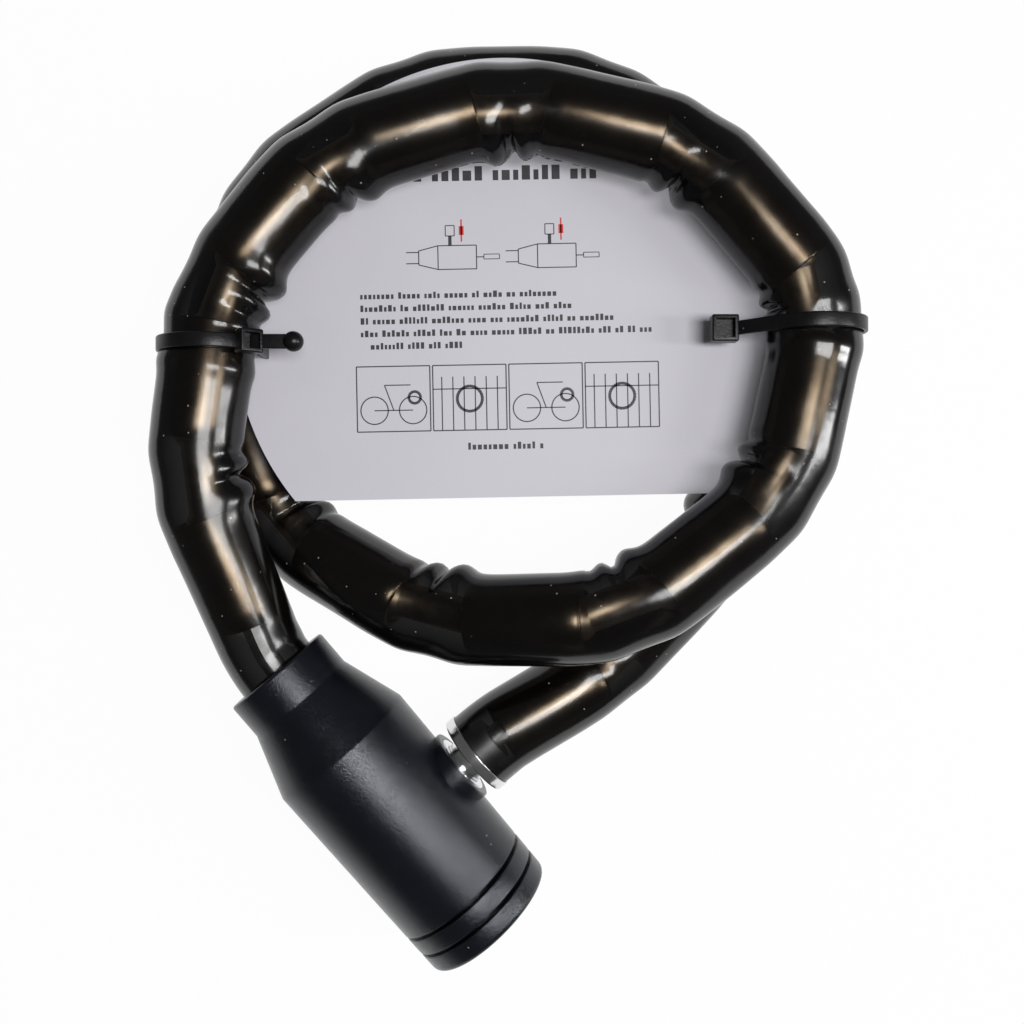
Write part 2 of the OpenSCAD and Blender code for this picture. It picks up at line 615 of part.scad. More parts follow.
// The left head sits on the shoulder of the upper loop, and its cut end points inward.
shoulder_at = 32;
head_lean = 38;
stub_l = 9.5;
stub_ball_d = 5.2;
module cable_tie_left() color("#141416") {
    lie = strap_gap + strap_t / 2;
    shoulder = [left_top.x + (loose_w / 2 + lie) * cos(shoulder_at), tie_left_y,
        left_top.z + (loose_h / 2 + lie) * sin(shoulder_at)];
    strap(left_top, left_low, tie_left_y, false);
    translate(shoulder) rotate([0, head_lean, 0]) translate([0, 0, tie_head_h / 2]) tie_head_block();
    translate(shoulder + [1.5, -strap_w / 2, 0.6]) cube([stub_l, strap_w, strap_t]);
    translate(shoulder + [stub_l + 2.9, 0, 0.6 + strap_t / 2]) sphere(d = stub_ball_d);
}

module cable_tie_right() color("#141416") {
    strap(right_top, right_low, tie_right_y, true);
    translate([right_head_x - right_turn_r - tie_head / 2 - strap_gap, tie_right_y, right_head_z])
        tie_head_block();
}

module card_slot(x, y, slant = 0) translate([x - slot_l / 2, y - strap_w / 2 - 0.4, -1])
    cube([slot_l + slant, strap_w + 0.8, 3]);
module instruction_card() color("#d9d7dd") {
    left_slot_x = left_low.x + (left_top.x - left_low.x) * (card_z - left_low.z)
        / (left_top.z - left_low.z) + loose_w / 2 + strap_gap + strap_t / 2;
    difference() {
        translate([card_at.x, card_at.y, card_z]) rotate([0, 0, card_turn]) difference() {
            cylinder(r = card_r, h = card_t);
            translate([-card_r, -2 * card_r - card_cut, -1]) cube([2 * card_r, 2 * card_r, 3]);
        }
        translate([0, 0, card_z]) {
            card_slot(left_slot_x, tie_left_y);
            card_slot(right_head_x - right_turn_r - strap_gap - strap_t / 2, tie_right_y, slot_slant);
        }
    }
}

function sleeve_name(i) = str("sleeve_", i < 10 ? "0" : "", i);

housing_cover();
cover_band();
end_cap();
socket_bush();
lock_body();
cylinder_shell();
cylinder_pin();
cable_anchor();
anchor_pin();
plug();
plug_clip();
for (i = [1 : wafers]) wafer(i);
wafer_springs();
locking_bolt();
lock_pin();
connector_cap();
pin_ferrule();
sheath();
sheath_tail();
core_rope();
core_rope_tail();
for (i = [1 : SLEEVES]) sleeve(i);
neck_bobbins();
neck_bobbins_tail();
instruction_card();
cable_tie_left();
cable_tie_right();
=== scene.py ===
"""Armoured cable lock, coiled one and a half times and tied round its instruction card.

Lengths are in metres; a name that ends in _mm is in millimetres. The cable runs from the housing's
collar along CABLE_ROUTE_MM and back into the housing's side through the connector.
"""
from __future__ import annotations

import json
import logging
import math
import random
from dataclasses import dataclass, field
from enum import Enum
from typing import Iterable, Sequence

import bmesh
import bpy
from mathutils import Matrix, Vector, noise

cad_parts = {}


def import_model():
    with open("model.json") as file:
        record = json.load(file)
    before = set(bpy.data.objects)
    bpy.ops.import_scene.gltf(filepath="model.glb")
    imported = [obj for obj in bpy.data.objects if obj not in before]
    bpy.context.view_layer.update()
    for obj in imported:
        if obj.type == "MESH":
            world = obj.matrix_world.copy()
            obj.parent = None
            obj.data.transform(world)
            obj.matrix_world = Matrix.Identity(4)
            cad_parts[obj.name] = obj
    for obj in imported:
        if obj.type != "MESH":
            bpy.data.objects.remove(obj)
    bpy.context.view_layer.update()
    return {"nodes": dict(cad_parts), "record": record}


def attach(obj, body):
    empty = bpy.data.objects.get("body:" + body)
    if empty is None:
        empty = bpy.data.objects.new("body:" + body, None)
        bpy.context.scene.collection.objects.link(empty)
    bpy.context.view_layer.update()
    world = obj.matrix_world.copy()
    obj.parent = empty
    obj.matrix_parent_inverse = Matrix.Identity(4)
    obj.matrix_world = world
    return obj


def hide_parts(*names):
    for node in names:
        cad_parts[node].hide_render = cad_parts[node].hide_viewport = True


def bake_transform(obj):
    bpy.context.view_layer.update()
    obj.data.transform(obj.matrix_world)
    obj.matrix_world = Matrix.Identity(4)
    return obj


LOG = logging.getLogger("cable_lock")
Pair = tuple[float, float]
Triple = tuple[float, float, float]
Colour = Triple
MM = 0.001

# The middles of the necks between the sleeves, from the housing to the connector, in millimetres.
CABLE_ROUTE_MM = [
    (-81.5, 5, 33), (-74, 55.5, 33.5), (-47, 88.5, 33.5), (2, 103, 33.5),
    (50.5, 91.5, 33.5), (83.5, 52, 33.5), (72.5, 1.5, 34.5), (31, -30.5, 41),
    (-18.5, -32.5, 27), (-62.5, -9, 10.5), (-80, 38, 11.8), (-66.5, 86.5, 11.8),
    (-25, 114.5, 10.5), (25, 115, 10.5), (64, 84.5, 11.8), (77.5, 36.5, 11.8),
    (62, -11, 11), (26, -48.5, 15.5),
]
# Sleeves and necks from this one on belong to the cable's tail.
TAIL_FROM = 17
# The planes that the left and the right tie lie in.
TIE_PLANES_MM = (39.5, 44.5)
# Where the right tie turns at its head: across from the lower cable's middle, and up.
RIGHT_TURN_MM = (-11.6, 30.5)
# How far the socket's middle is from the housing's rim.
SOCKET_X_MM = 52.0
# The sheath's girth: round where it is drawn tight, and flatter where it lies loose.
SHEATH_D_MM = 22.0
LOOSE_W_MM = 24.0
LOOSE_H_MM = 21.0


class Member(Enum):
    """The lock's bodies that new pieces ride on."""

    HOUSING = "housing"
    CONNECTOR = "connector"


class Slot(Enum):
    """The record's material slots; no piece takes its finish from them."""

    HOUSING = "housing_black"
    BRIGHT = "bright_metal"
    SLEEVE = "sleeve_steel"
    ROPE = "rope_steel"
    SHEATH = "sheath_clear"
    CARD = "card"
    TIE = "tie_black"


# ---- Geometry helpers ----

def smooth_step(value: float) -> float:
    """Eases a value from 0 to 1 between 0 and 1."""
    t = min(1.0, max(0.0, value))
    return t * t * (3 - 2 * t)


def bell(value: float, width: float) -> float:
    """Gives a round bump of height 1 and the given half width."""
    return math.exp(-((value / width) ** 2))


def bumps(value: float, shape: Iterable[Triple]) -> float:
    """Adds up bumps, each with its height, its place and its half width."""
    return sum(height * bell(value - place, width) for height, place, width in shape)


def rounded(points: Sequence[Pair], radii: float | Sequence[float],
            steps: int = 4, closed: bool = False) -> list[Pair]:
    """Rounds the corners of an outline with arcs.

    Args:
        points: the outline's corners.
        radii: one radius for all corners, or one for each.
        steps: the number of stretches in each arc.
        closed: whether the last corner joins the first.

    Returns:
        The points of the rounded outline.
    """
    count = len(points)
    each = [radii] * count if isinstance(radii, (int, float)) else list(radii)
    outline: list[Pair] = []
    for index, point in enumerate(points):
        here = Vector(point)
        if (not closed and index in (0, count - 1)) or each[index] <= 0:
            outline.append(tuple(here))
            continue
        before = Vector(points[index - 1]) - here
        after = Vector(points[(index + 1) % count]) - here
        half_angle = before.angle(after) / 2
        reach = min(each[index] / math.tan(half_angle), 0.45 * before.length, 0.45 * after.length)
        start = here + before.normalized() * reach
        end = here + after.normalized() * reach
        for step in range(steps + 1):
            t = step / steps
            outline.append(tuple((1 - t) ** 2 * start + 2 * t * (1 - t) * here + t * t * end))
    return outline


def circle(radius: float, steps: int) -> list[Pair]:
    """Gives points round a circle, anticlockwise."""
    angles = (2 * math.pi * k / steps for k in range(steps))
    return [(radius * math.cos(a), radius * math.sin(a)) for a in angles]


def loft(mesh: bmesh.types.BMesh, rings: Sequence[Sequence[bmesh.types.BMVert]],
         closed: bool = False, clockwise: bool = False) -> None:
    """Joins rings of corners with a wall.

    Args:
        mesh: the mesh that takes the wall.
        rings: the rings, each with the same number of corners.
        closed: whether the last ring joins the first.
        clockwise: whether the rings run clockwise, seen from the last one.
    """
    for low, high in zip(rings, [*rings[1:], *(rings[:1] if closed else ())]):
        for k in range(len(low)):
            a, b = k, (k + 1) % len(low)
            if clockwise:
                a, b = b, a
            mesh.faces.new((low[a], low[b], high[b], high[a]))


def turned(outline: Sequence[Pair], sides: int = 96,
           closed: bool = False) -> bmesh.types.BMesh:
    """Turns an outline of (radius, height) points in millimetres about the Z axis.

    Args:
        outline: the outline, from bottom to top on the outside.
        sides: the number of sides.
        closed: whether the outline's last point joins its first.

    Returns:
        A mesh with a UV layer whose u runs round the turning and whose v runs along it.
    """
    mesh = bmesh.new()
    uv = mesh.loops.layers.uv.new("turning")
    rows = []
    for radius, height in outline:
        if radius == 0:
            rows.append([mesh.verts.new((0, 0, height * MM))] * (sides + 1))
            continue
        ring = [mesh.verts.new((x * MM, y * MM, height * MM)) for x, y in circle(radius, sides)]
        rows.append(ring + ring[:1])
    pairs = list(zip(range(len(rows) - 1), range(1, len(rows))))
    if closed:
        pairs.append((len(rows) - 1, 0))
    for low, high in pairs:
        for k in range(sides):
            corners = [(rows[low][k], k, low), (rows[low][k + 1], k + 1, low),
                       (rows[high][k + 1], k + 1, high), (rows[high][k], k, high)]
            kept = []
            for corner in corners:
                if all(corner[0] is not other[0] for other in kept):
                    kept.append(corner)
            if len(kept) < 3:
                continue
            face = mesh.faces.new([corner[0] for corner in kept])
            for loop, (_, around, along) in zip(face.loops, kept):
                loop[uv].uv = (around / sides, outline[along][1])
    bmesh.ops.recalc_face_normals(mesh, faces=mesh.faces)
    return mesh


def standing(base: Vector, way: Vector) -> Matrix:
    """Gives the matrix that stands a turned mesh on base, with its Z axis along way."""
    turn = way.normalized().to_track_quat("Z", "Y").to_matrix().to_4x4()
    return Matrix.Translation(base) @ turn


def placed(base: Vector, *axes: Vector) -> Matrix:
    """Gives the matrix with the given axes that stands on base."""
    return Matrix.Translation(base) @ Matrix(axes).transposed().to_4x4()


def convex_outline(points: Iterable[Pair]) -> list[Pair]:
    """Gives the outline of a band drawn tight round points, anticlockwise.

    Args:
        points: the points, in any order.

    Returns:
        The corners of the outline.
    """
    ordered = sorted(set(points))

    def half(run: Iterable[Pair]) -> list[Pair]:
        """Gives one half of the outline.

        Args:
            run: the sorted points.

        Returns:
            Its corners but the last.
        """
        chain: list[Pair] = []
        for p in run:
            while len(chain) > 1:
                (ax, ay), (bx, by) = chain[-2:]
                if (bx - ax) * (p[1] - ay) - (by - ay) * (p[0] - ax) > 0:
                    break
                chain.pop()
            chain.append(p)
        return chain[:-1]

    return half(ordered) + half(reversed(ordered))


def evenly(points: Sequence[Vector], count: int) -> list[Vector]:
    """Spreads count points evenly along a closed line.

    Args:
        points: the corners of the line.
        count: the number of points.

    Returns:
        The points.
    """
    loop = list(points) + [points[0]]
    runs = [0.0]
    for a, b in zip(loop, loop[1:]):
        runs.append(runs[-1] + (b - a).length)
    spread = []
    index = 0
    for k in range(count):
        want = runs[-1] * k / count
        while runs[index + 1] < want:
            index += 1
        share = (want - runs[index]) / max(1e-9, runs[index + 1] - runs[index])
        spread.append(loop[index].lerp(loop[index + 1], share))
    return spread


def add_to(target: bmesh.types.BMesh, source: bmesh.types.BMesh) -> None:
    """Adds a mesh to another one and frees it.

    Args:
        target: the mesh that grows.
        source: the mesh that is added.
    """
    held = stored("held", source)
    target.from_mesh(held)
    bpy.data.meshes.remove(held)


def in_scene(name: str, data: bpy.types.ID | None) -> bpy.types.Object:
    """Makes an object of its data and links it to the scene.

    Args:
        name: the object's name.
        data: its mesh, lamp or camera.

    Returns:
        The object.
    """
    thing = bpy.data.objects.new(name, data)
    bpy.context.scene.collection.objects.link(thing)
    return thing


def stored(name: str, mesh: bmesh.types.BMesh) -> bpy.types.Mesh:
    """Writes a mesh to new mesh data and frees it.

    Args:
        name: the data's name.
        mesh: the mesh.

    Returns:
        The data.
    """
    data = bpy.data.meshes.new(name)
    mesh.to_mesh(data)
    mesh.free()
    return data


def make_piece(name: str, mesh: bmesh.types.BMesh, finish: bpy.types.Material,
               body: Member | None = None, node: str = "", sharp_degrees: float = 35,
               ) -> bpy.types.Object:
    """Makes an object of a mesh, smooth but for its sharp edges.

    Args:
        name: the piece's name.
        mesh: its mesh, which is freed.
        finish: its material.
        body: the body that the piece rides on, if it is known yet.
        node: the solid that the piece stands for, if it does.
        sharp_degrees: edges that turn more than this stay sharp.

    Returns:
        The object, linked to the scene.
    """
    data = stored(name, mesh)
    data.shade_smooth()
    data.set_sharp_from_angle(angle=math.radians(sharp_degrees))
    data.materials.append(finish)
    piece = in_scene(name, data)
    if body:
        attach(piece, body.value)
    if node:
        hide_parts(node)
    LOG.info("%s", name)
    return piece


def combine(piece: bpy.types.Object, tool: bmesh.types.BMesh, operation: str) -> None:
    """Joins a solid to a piece, or cuts it away, and keeps the result.

    Args:
        piece: the piece that changes.
        tool: the solid, which is freed.
        operation: UNION or DIFFERENCE.
    """
    data = stored("tool", tool)
    data.shade_smooth()
    helper = in_scene("tool", data)
    modifier = piece.modifiers.new("combine", "BOOLEAN")
    modifier.operation = operation
    modifier.solver = "EXACT"
    modifier.object = helper
    bpy.context.view_layer.update()
    shaped = bpy.data.meshes.new_from_object(
        piece.evaluated_get(bpy.context.evaluated_depsgraph_get()))
    piece.modifiers.clear()
    old = piece.data
    name = old.name
    piece.data = shaped
    bpy.data.meshes.remove(old)
    shaped.name = name
    bpy.data.objects.remove(helper)
    bpy.data.meshes.remove(data)


def lay(name: str, node: str, where: Matrix, outline: Sequence[Pair], sides: int,
        finish: bpy.types.Material, body: Member | None = None, closed: bool = True,
        sharp_degrees: float = 35) -> bpy.types.Object:
    """Turns an outline and lays it in its place as a piece.

    Args:
        name: the piece's name.
        node: the solid that it stands for.
        where: the place of the outline's foot and the direction of its axis.
        outline: (radius, height) points in millimetres.
        sides: the number of sides.
        finish: its material.
        body: the body that the piece rides on, if it is known yet.
        closed: whether the outline's last point joins its first.
        sharp_degrees: edges that turn more than this stay sharp.

    Returns:
        The piece.
    """
    mesh = turned(outline, sides, closed)
    mesh.transform(where)
    return make_piece(name, mesh, finish, body, node, sharp_degrees)


def bevelled_block(size: Vector, bevel: float, segments: int) -> bmesh.types.BMesh:
    """Makes a block with rounded edges round the origin.

    Args:
        size: the lengths of its sides.
        bevel: how far the rounding reaches from an edge.
        segments: the number of stretches in the rounding.

    Returns:
        The block's mesh.
    """
    mesh = bmesh.new()
    bmesh.ops.create_cube(mesh, size=1.0)
    bmesh.ops.scale(mesh, vec=size, verts=mesh.verts)
    bmesh.ops.bevel(mesh, geom=list(mesh.edges), offset=bevel, segments=segments, profile=0.6,
                    affect="EDGES")
    return mesh


# ---- Finishes ----

class ShaderSheet:
    """Adds and links the nodes of one material or node group."""

    def __init__(self, tree: bpy.types.NodeTree) -> None:
        """Starts on a tree."""
        self.tree = tree

    def add(self, kind: str, **inputs: object) -> bpy.types.Node:
        """Adds a node.

        Args:
            kind: the node's type.
            inputs: an input by name, with blanks as underscores, or a setting in lower case. A
                socket is linked and anything else is set.

        Returns:
            The node.
        """
        return self.set(self.tree.nodes.new(kind), **inputs)

    def set(self, node: bpy.types.Node, **inputs: object) -> bpy.types.Node:
        """Sets or links a node's inputs and settings, as add does, and gives the node.

        Args:
            node: the node.
            inputs: as in add.

        Returns:
            The node.
        """
        for name, value in inputs.items():
            if hasattr(node, name) and name[0].islower():
                setattr(node, name, value)
            else:
                self.feed(node.inputs[name.replace("_", " ")], value)
        return node

    def feed(self, socket: bpy.types.NodeSocket, value: object) -> None:
        """Links an input to a socket, or sets its value.

        Args:
            socket: the input.
            value: the socket or the value.
        """
        if isinstance(value, bpy.types.NodeSocket):
            self.tree.links.new(value, socket)
        else:
            socket.default_value = value

    def math(self, operation: str, first: object, second: object = 0.5) -> bpy.types.NodeSocket:
        """Works out a value from two values or sockets.

        Args:
            operation: the math node's operation.
            first: the first value or socket.
            second: the second one.

        Returns:
            The socket of the result.
        """
        node = self.add("ShaderNodeMath", operation=operation)
        self.feed(node.inputs[0], first)
        self.feed(node.inputs[1], second)
        return node.outputs[0]

    def between(self, share: bpy.types.NodeSocket, low: float, high: float,
                full: float = 1.0) -> bpy.types.NodeSocket:
        """Spreads a share of 0 to full between two values."""
        node = self.add("ShaderNodeMapRange", Value=share, From_Max=full, To_Min=low, To_Max=high)
        return node.outputs["Result"]

    def tint(self, share: bpy.types.NodeSocket, first: Colour | bpy.types.NodeSocket,
             second: Colour) -> bpy.types.NodeSocket:
        """Mixes a colour or a socket with a second colour.

        Args:
            share: the share of the second colour.
            first: the first colour, or its socket.
            second: the second colour.

        Returns:
            The socket of the mix.
        """
        start = first if isinstance(first, bpy.types.NodeSocket) else (*first, 1)
        return self.add("ShaderNodeMix", data_type="RGBA", Factor=share, A=start,
                        B=(*second, 1)).outputs["Result"]

    def group(self, tree: bpy.types.NodeTree, **inputs: float) -> bpy.types.NodeSocket:
        """Adds a node group and gives its value."""
        return self.add("ShaderNodeGroup", node_tree=tree, **inputs).outputs["Value"]

    def dent(self, height: bpy.types.NodeSocket, depth: float,
             strength: float) -> bpy.types.NodeSocket:
        """Turns a height into a bumped normal."""
        return self.add("ShaderNodeBump", Height=height, Strength=strength,
                        Distance=depth).outputs["Normal"]


def new_material(name: str) -> tuple[bpy.types.Material, ShaderSheet, bpy.types.Node]:
    """Starts a material, and gives it with its sheet and its main shader.

    Args:
        name: the material's name.

    Returns:
        The material, its sheet and its shader.
    """
    material = bpy.data.materials.new(name)
    material.use_nodes = True
    tree = material.node_tree
    return material, ShaderSheet(tree), tree.nodes["Principled BSDF"]


class GroupSheet(ShaderSheet):
    """The nodes of a group that puts out one value."""

    def __init__(self, name: str, **inputs: float) -> None:
        """Starts a group.

        Args:
            name: the group's name.
            inputs: its inputs and their first values.
        """
        super().__init__(bpy.data.node_groups.new(name, "ShaderNodeTree"))
        sides = self.tree.interface
        for label, value in inputs.items():
            socket = sides.new_socket(label, in_out="INPUT", socket_type="NodeSocketFloat")
            socket.default_value = value
        sides.new_socket("Value", in_out="OUTPUT", socket_type="NodeSocketFloat")
        self.given = self.add("NodeGroupInput").outputs

    def where(self) -> bpy.types.NodeSocket:
        """Gives the place on the object."""
        return self.add("ShaderNodeTexCoord").outputs["Object"]

    def put_out(self, value: bpy.types.NodeSocket) -> bpy.types.NodeTree:
        """Puts a value out, and gives the group."""
        self.feed(self.add("NodeGroupOutput").inputs["Value"], value)
        return self.tree


class SurfaceGroups:
    """The effects that several finishes share, each built once as a node group."""

    def __init__(self) -> None:
        """Builds the groups."""
        self.mottle = self._mottle()
        self.grain = self._grain()
        self.dust = self._dust()
        self.brushing = self._brushing()

    @staticmethod
    def _mottle() -> bpy.types.NodeTree:
        """Draws soft clouds."""
        sheet = GroupSheet("mottle", Scale=200.0)
        clouds = sheet.add("ShaderNodeTexNoise", Vector=sheet.where(), Scale=sheet.given["Scale"],
                           Detail=4.0, Roughness=0.6)
        spread = sheet.add("ShaderNodeMapRange", Value=clouds.outputs["Fac"], From_Min=0.3,
                           From_Max=0.7)
        return sheet.put_out(spread.outputs["Result"])

    @staticmethod
    def _grain() -> bpy.types.NodeTree:
        """Draws the small pebbles of a spark-eroded mould."""
        sheet = GroupSheet("moulded grain", Scale=1500.0)
        where, scale = sheet.where(), sheet.given["Scale"]
        pebbles = sheet.add("ShaderNodeTexVoronoi", Vector=where, Scale=scale,
                            feature="SMOOTH_F1", Smoothness=0.6)
        fine = sheet.add("ShaderNodeTexNoise", Vector=where, Detail=2.0,
                         Scale=sheet.math("MULTIPLY", scale, 1.7))
        return sheet.put_out(
            sheet.math("ADD", sheet.math("MULTIPLY", pebbles.outputs["Distance"], 0.7),
                       sheet.math("MULTIPLY", fine.outputs["Fac"], 0.6)))

    @staticmethod
    def _dust() -> bpy.types.NodeTree:
        """Draws scattered specks."""
        sheet = GroupSheet("dust", Scale=300.0, Share=0.05)
        cells = sheet.add("ShaderNodeTexVoronoi", Vector=sheet.where(), Scale=sheet.given["Scale"])
        chosen = sheet.add("ShaderNodeSeparateColor", Color=cells.outputs["Color"])
        kept = sheet.math("LESS_THAN", chosen.outputs[0], sheet.given["Share"])
        near = sheet.math("LESS_THAN", cells.outputs["Distance"], 0.16)
        return sheet.put_out(sheet.math("MULTIPLY", kept, near))

    @staticmethod
    def _brushing() -> bpy.types.NodeTree:
        """Draws fine lines that run along a turned piece."""
        sheet = GroupSheet("brushing", Scale=40.0)
        where = sheet.add("ShaderNodeUVMap", uv_map="turning").outputs["UV"]
        stretched = sheet.add("ShaderNodeMapping", Vector=where, Scale=(1.0, 0.06, 1.0))
        lines = sheet.add("ShaderNodeTexNoise", Vector=stretched.outputs["Vector"],
                          Scale=sheet.given["Scale"], Detail=3.0)
        return sheet.put_out(lines.outputs["Fac"])


@dataclass(frozen=True)
class PlainFinish:
    """A moulded, printed or metal surface.

    Attributes:
        colour: its colour.
        second: a second colour that it drifts towards.
        roughness: its lowest and highest roughness.
        metal: 1 for metal and 0 for anything else.
        mottle_scale: the scale of the drift in colour and roughness.
        mottle_depth: the depth of its unevenness where it has no grain, in metres.
        grain_scale: the scale of its moulded grain.
        grain_depth: the depth of that grain, in metres.
        brushed: whether fine lines run along it.
        brush_scale: the scale of those lines.
        dust: the share of dust specks on it.
        dust_scale: the scale of the specks.
        dust_colour: their colour.
        shine: its specular level.
        cast: the tint of what it reflects.
    """

    name: str
    colour: Colour
    second: Colour
    roughness: Pair
    metal: float = 0.0
    mottle_scale: float = 120.0
    mottle_depth: float = 0.00002
    grain_scale: float = 0.0
    grain_depth: float = 0.0
    brushed: bool = False
    brush_scale: float = 70.0
    dust: float = 0.0
    dust_scale: float = 900.0
    dust_colour: Colour = (0.3, 0.29, 0.27)
    shine: float = 0.5
    cast: Colour = (1.0, 1.0, 1.0)

    def make(self, groups: SurfaceGroups) -> bpy.types.Material:
        """Builds the material.

        Args:
            groups: the shared effects.

        Returns:
            The material.
        """
        material, sheet, shader = new_material(self.name)
        share = sheet.group(groups.mottle, Scale=self.mottle_scale)
        colour = sheet.tint(share, self.colour, self.second)
        if self.dust:
            specks = sheet.group(groups.dust, Scale=self.dust_scale, Share=self.dust)
            colour = sheet.tint(specks, colour, self.dust_colour)
        height = share
        depth = self.mottle_depth
        if self.brushed:
            height = sheet.group(groups.brushing, Scale=self.brush_scale)
            share = sheet.math("MULTIPLY", sheet.math("ADD", share, height), 0.5)
        if self.grain_scale:
            height = sheet.group(groups.grain, Scale=self.grain_scale)
            depth = self.grain_depth
        sheet.set(shader, Base_Color=colour, Roughness=sheet.between(share, *self.roughness),
                  Normal=sheet.dent(height, depth, 0.6), Metallic=self.metal,
                  Specular_IOR_Level=self.shine)
        if not self.metal:
            sheet.set(shader, Specular_Tint=(*self.cast, 1))
        return material


@dataclass(frozen=True)
class SmokySheathFinish:
    """The sheath's soft clear plastic, tinted smoky brown.

    Attributes:
        colour: the tint that the wall itself shows.
        facing: how much of what lies behind a wall it hides where it is seen square on.
        edge: the same where it is seen along the wall.
        edge_from: how slanting the view is where the wall hides as much as at its edge, 0 to 1.
        far_wall: how much the far wall hides, seen from within: painted shade inside and beneath
            the tube.
        lamplight: the share of that hiding which a lamp's own light meets.
        ripple_depth: the depth of its fine ripples, in metres.
        ripple_scale: their scale.
        drift: how much lighter than the tint its lightest clouds are.
        dust: the share of dust specks on it.
        dust_scale: the scale of the specks.
        dust_colour: their colour.
        roughness: its lowest and highest roughness.
        ior: its index of refraction.
        shine: its specular level.
    """

    name: str = "smoky sheath"
    colour: Colour = (0.0016, 0.0012, 0.0012)
    facing: float = 0.58
    far_wall: float = 0.96
    lamplight: float = 0.3
    edge: float = 0.985
    edge_from: float = 0.30
    ripple_depth: float = 0.00010
    ripple_scale: float = 55.0
    drift: float = 1.7
    dust: float = 0.035
    dust_scale: float = 750.0
    dust_colour: Colour = (0.32, 0.30, 0.27)
    roughness: Pair = (0.12, 0.22)
    ior: float = 1.54
    shine: float = 0.5

    def make(self, groups: SurfaceGroups) -> bpy.types.Material:
        """Builds the material.

        Args:
            groups: the shared effects.

        Returns:
            The material.
        """
        material, sheet, shader = new_material(self.name)
        ripples = sheet.group(groups.mottle, Scale=self.ripple_scale)
        specks = sheet.group(groups.dust, Scale=self.dust_scale, Share=self.dust)
        second = tuple(self.drift * part for part in self.colour)
        tinted = sheet.tint(specks, sheet.tint(ripples, self.colour, second), self.dust_colour)
        slant = sheet.add("ShaderNodeLayerWeight", Blend=0.5).outputs["Facing"]
        hidden = sheet.between(slant, self.facing, self.edge, self.edge_from)
        # Painted shade: seen from within, the far wall hides nearly all that lies behind it. It
        # takes the place of the shade inside the tube and on the floor beneath it.
        inner = sheet.add("ShaderNodeNewGeometry").outputs["Backfacing"]
        hidden = sheet.math("MAXIMUM", hidden, sheet.math("MULTIPLY", inner, self.far_wall))
        shadow = sheet.add("ShaderNodeLightPath").outputs["Is Shadow Ray"]
        dimmed = sheet.math("MULTIPLY", hidden, sheet.between(shadow, 1.0, self.lamplight))
        sheet.set(shader, Base_Color=tinted, Alpha=sheet.math("MAXIMUM", dimmed, specks),
                  Roughness=sheet.between(ripples, *self.roughness),
                  Normal=sheet.dent(ripples, self.ripple_depth, 0.5), IOR=self.ior,
                  Specular_IOR_Level=self.shine)
        return material


class Finishes:
    """Every material of the lock."""

    def __init__(self) -> None:
        """Builds the materials."""
        groups = SurfaceGroups()

        def plain(*look: object, **rest: object) -> bpy.types.Material:
            """Builds one plain finish."""
            return PlainFinish(*look, **rest).make(groups)

        self.housing = plain("grained black", (0.003, 0.0039, 0.0066), (0.0045, 0.0056, 0.009),
                             (0.20, 0.27), grain_scale=2900.0, grain_depth=0.00013, dust=0.006,
                             shine=0.56, cast=(0.9, 0.93, 1.0))
        self.zinc = plain("die-cast zinc", (0.50, 0.50, 0.50), (0.58, 0.58, 0.57), (0.36, 0.5),
                          metal=1.0, grain_scale=2500.0, grain_depth=0.00004)
        self.bright = plain("plated metal", (0.72, 0.72, 0.73), (0.80, 0.80, 0.80), (0.10, 0.24),
                            metal=1.0, mottle_scale=260.0, brushed=True)
        self.brass = plain("brass", (0.70, 0.53, 0.24), (0.78, 0.60, 0.30), (0.22, 0.36), metal=1.0)
        self.sleeve = plain("rolled sleeve steel", (0.55, 0.40, 0.26), (0.68, 0.54, 0.38),
                            (0.15, 0.25), metal=1.0, mottle_scale=160.0, brushed=True)
        self.bobbin = plain("bobbin steel", (0.36, 0.27, 0.18), (0.48, 0.38, 0.27), (0.28, 0.42),
                            metal=1.0, mottle_scale=200.0)
        self.rope = plain("rope steel", (0.34, 0.34, 0.34), (0.46, 0.46, 0.45), (0.35, 0.5),
                          metal=1.0, mottle_scale=900.0)
        self.spring = plain("spring steel", (0.50, 0.50, 0.51), (0.60, 0.60, 0.60), (0.25, 0.35),
                            metal=1.0)
        self.tie = plain("black nylon", (0.004, 0.004, 0.005), (0.008, 0.008, 0.009), (0.26, 0.38),
                         grain_scale=1400.0, grain_depth=0.00005, dust=0.01, shine=0.3)
        self.card = plain("light card", (0.625, 0.612, 0.665), (0.65, 0.637, 0.69), (0.5, 0.62),
                          mottle_scale=35.0, grain_scale=2600.0, grain_depth=0.00003)
        self.ink = plain("black ink", (0.03, 0.03, 0.035), (0.05, 0.05, 0.055), (0.45, 0.6))
        self.red_ink = plain("red ink", (0.62, 0.03, 0.03), (0.70, 0.05, 0.04), (0.45, 0.6))
        self.sheath = SmokySheathFinish().make(groups)


# ---- The cable's way ----

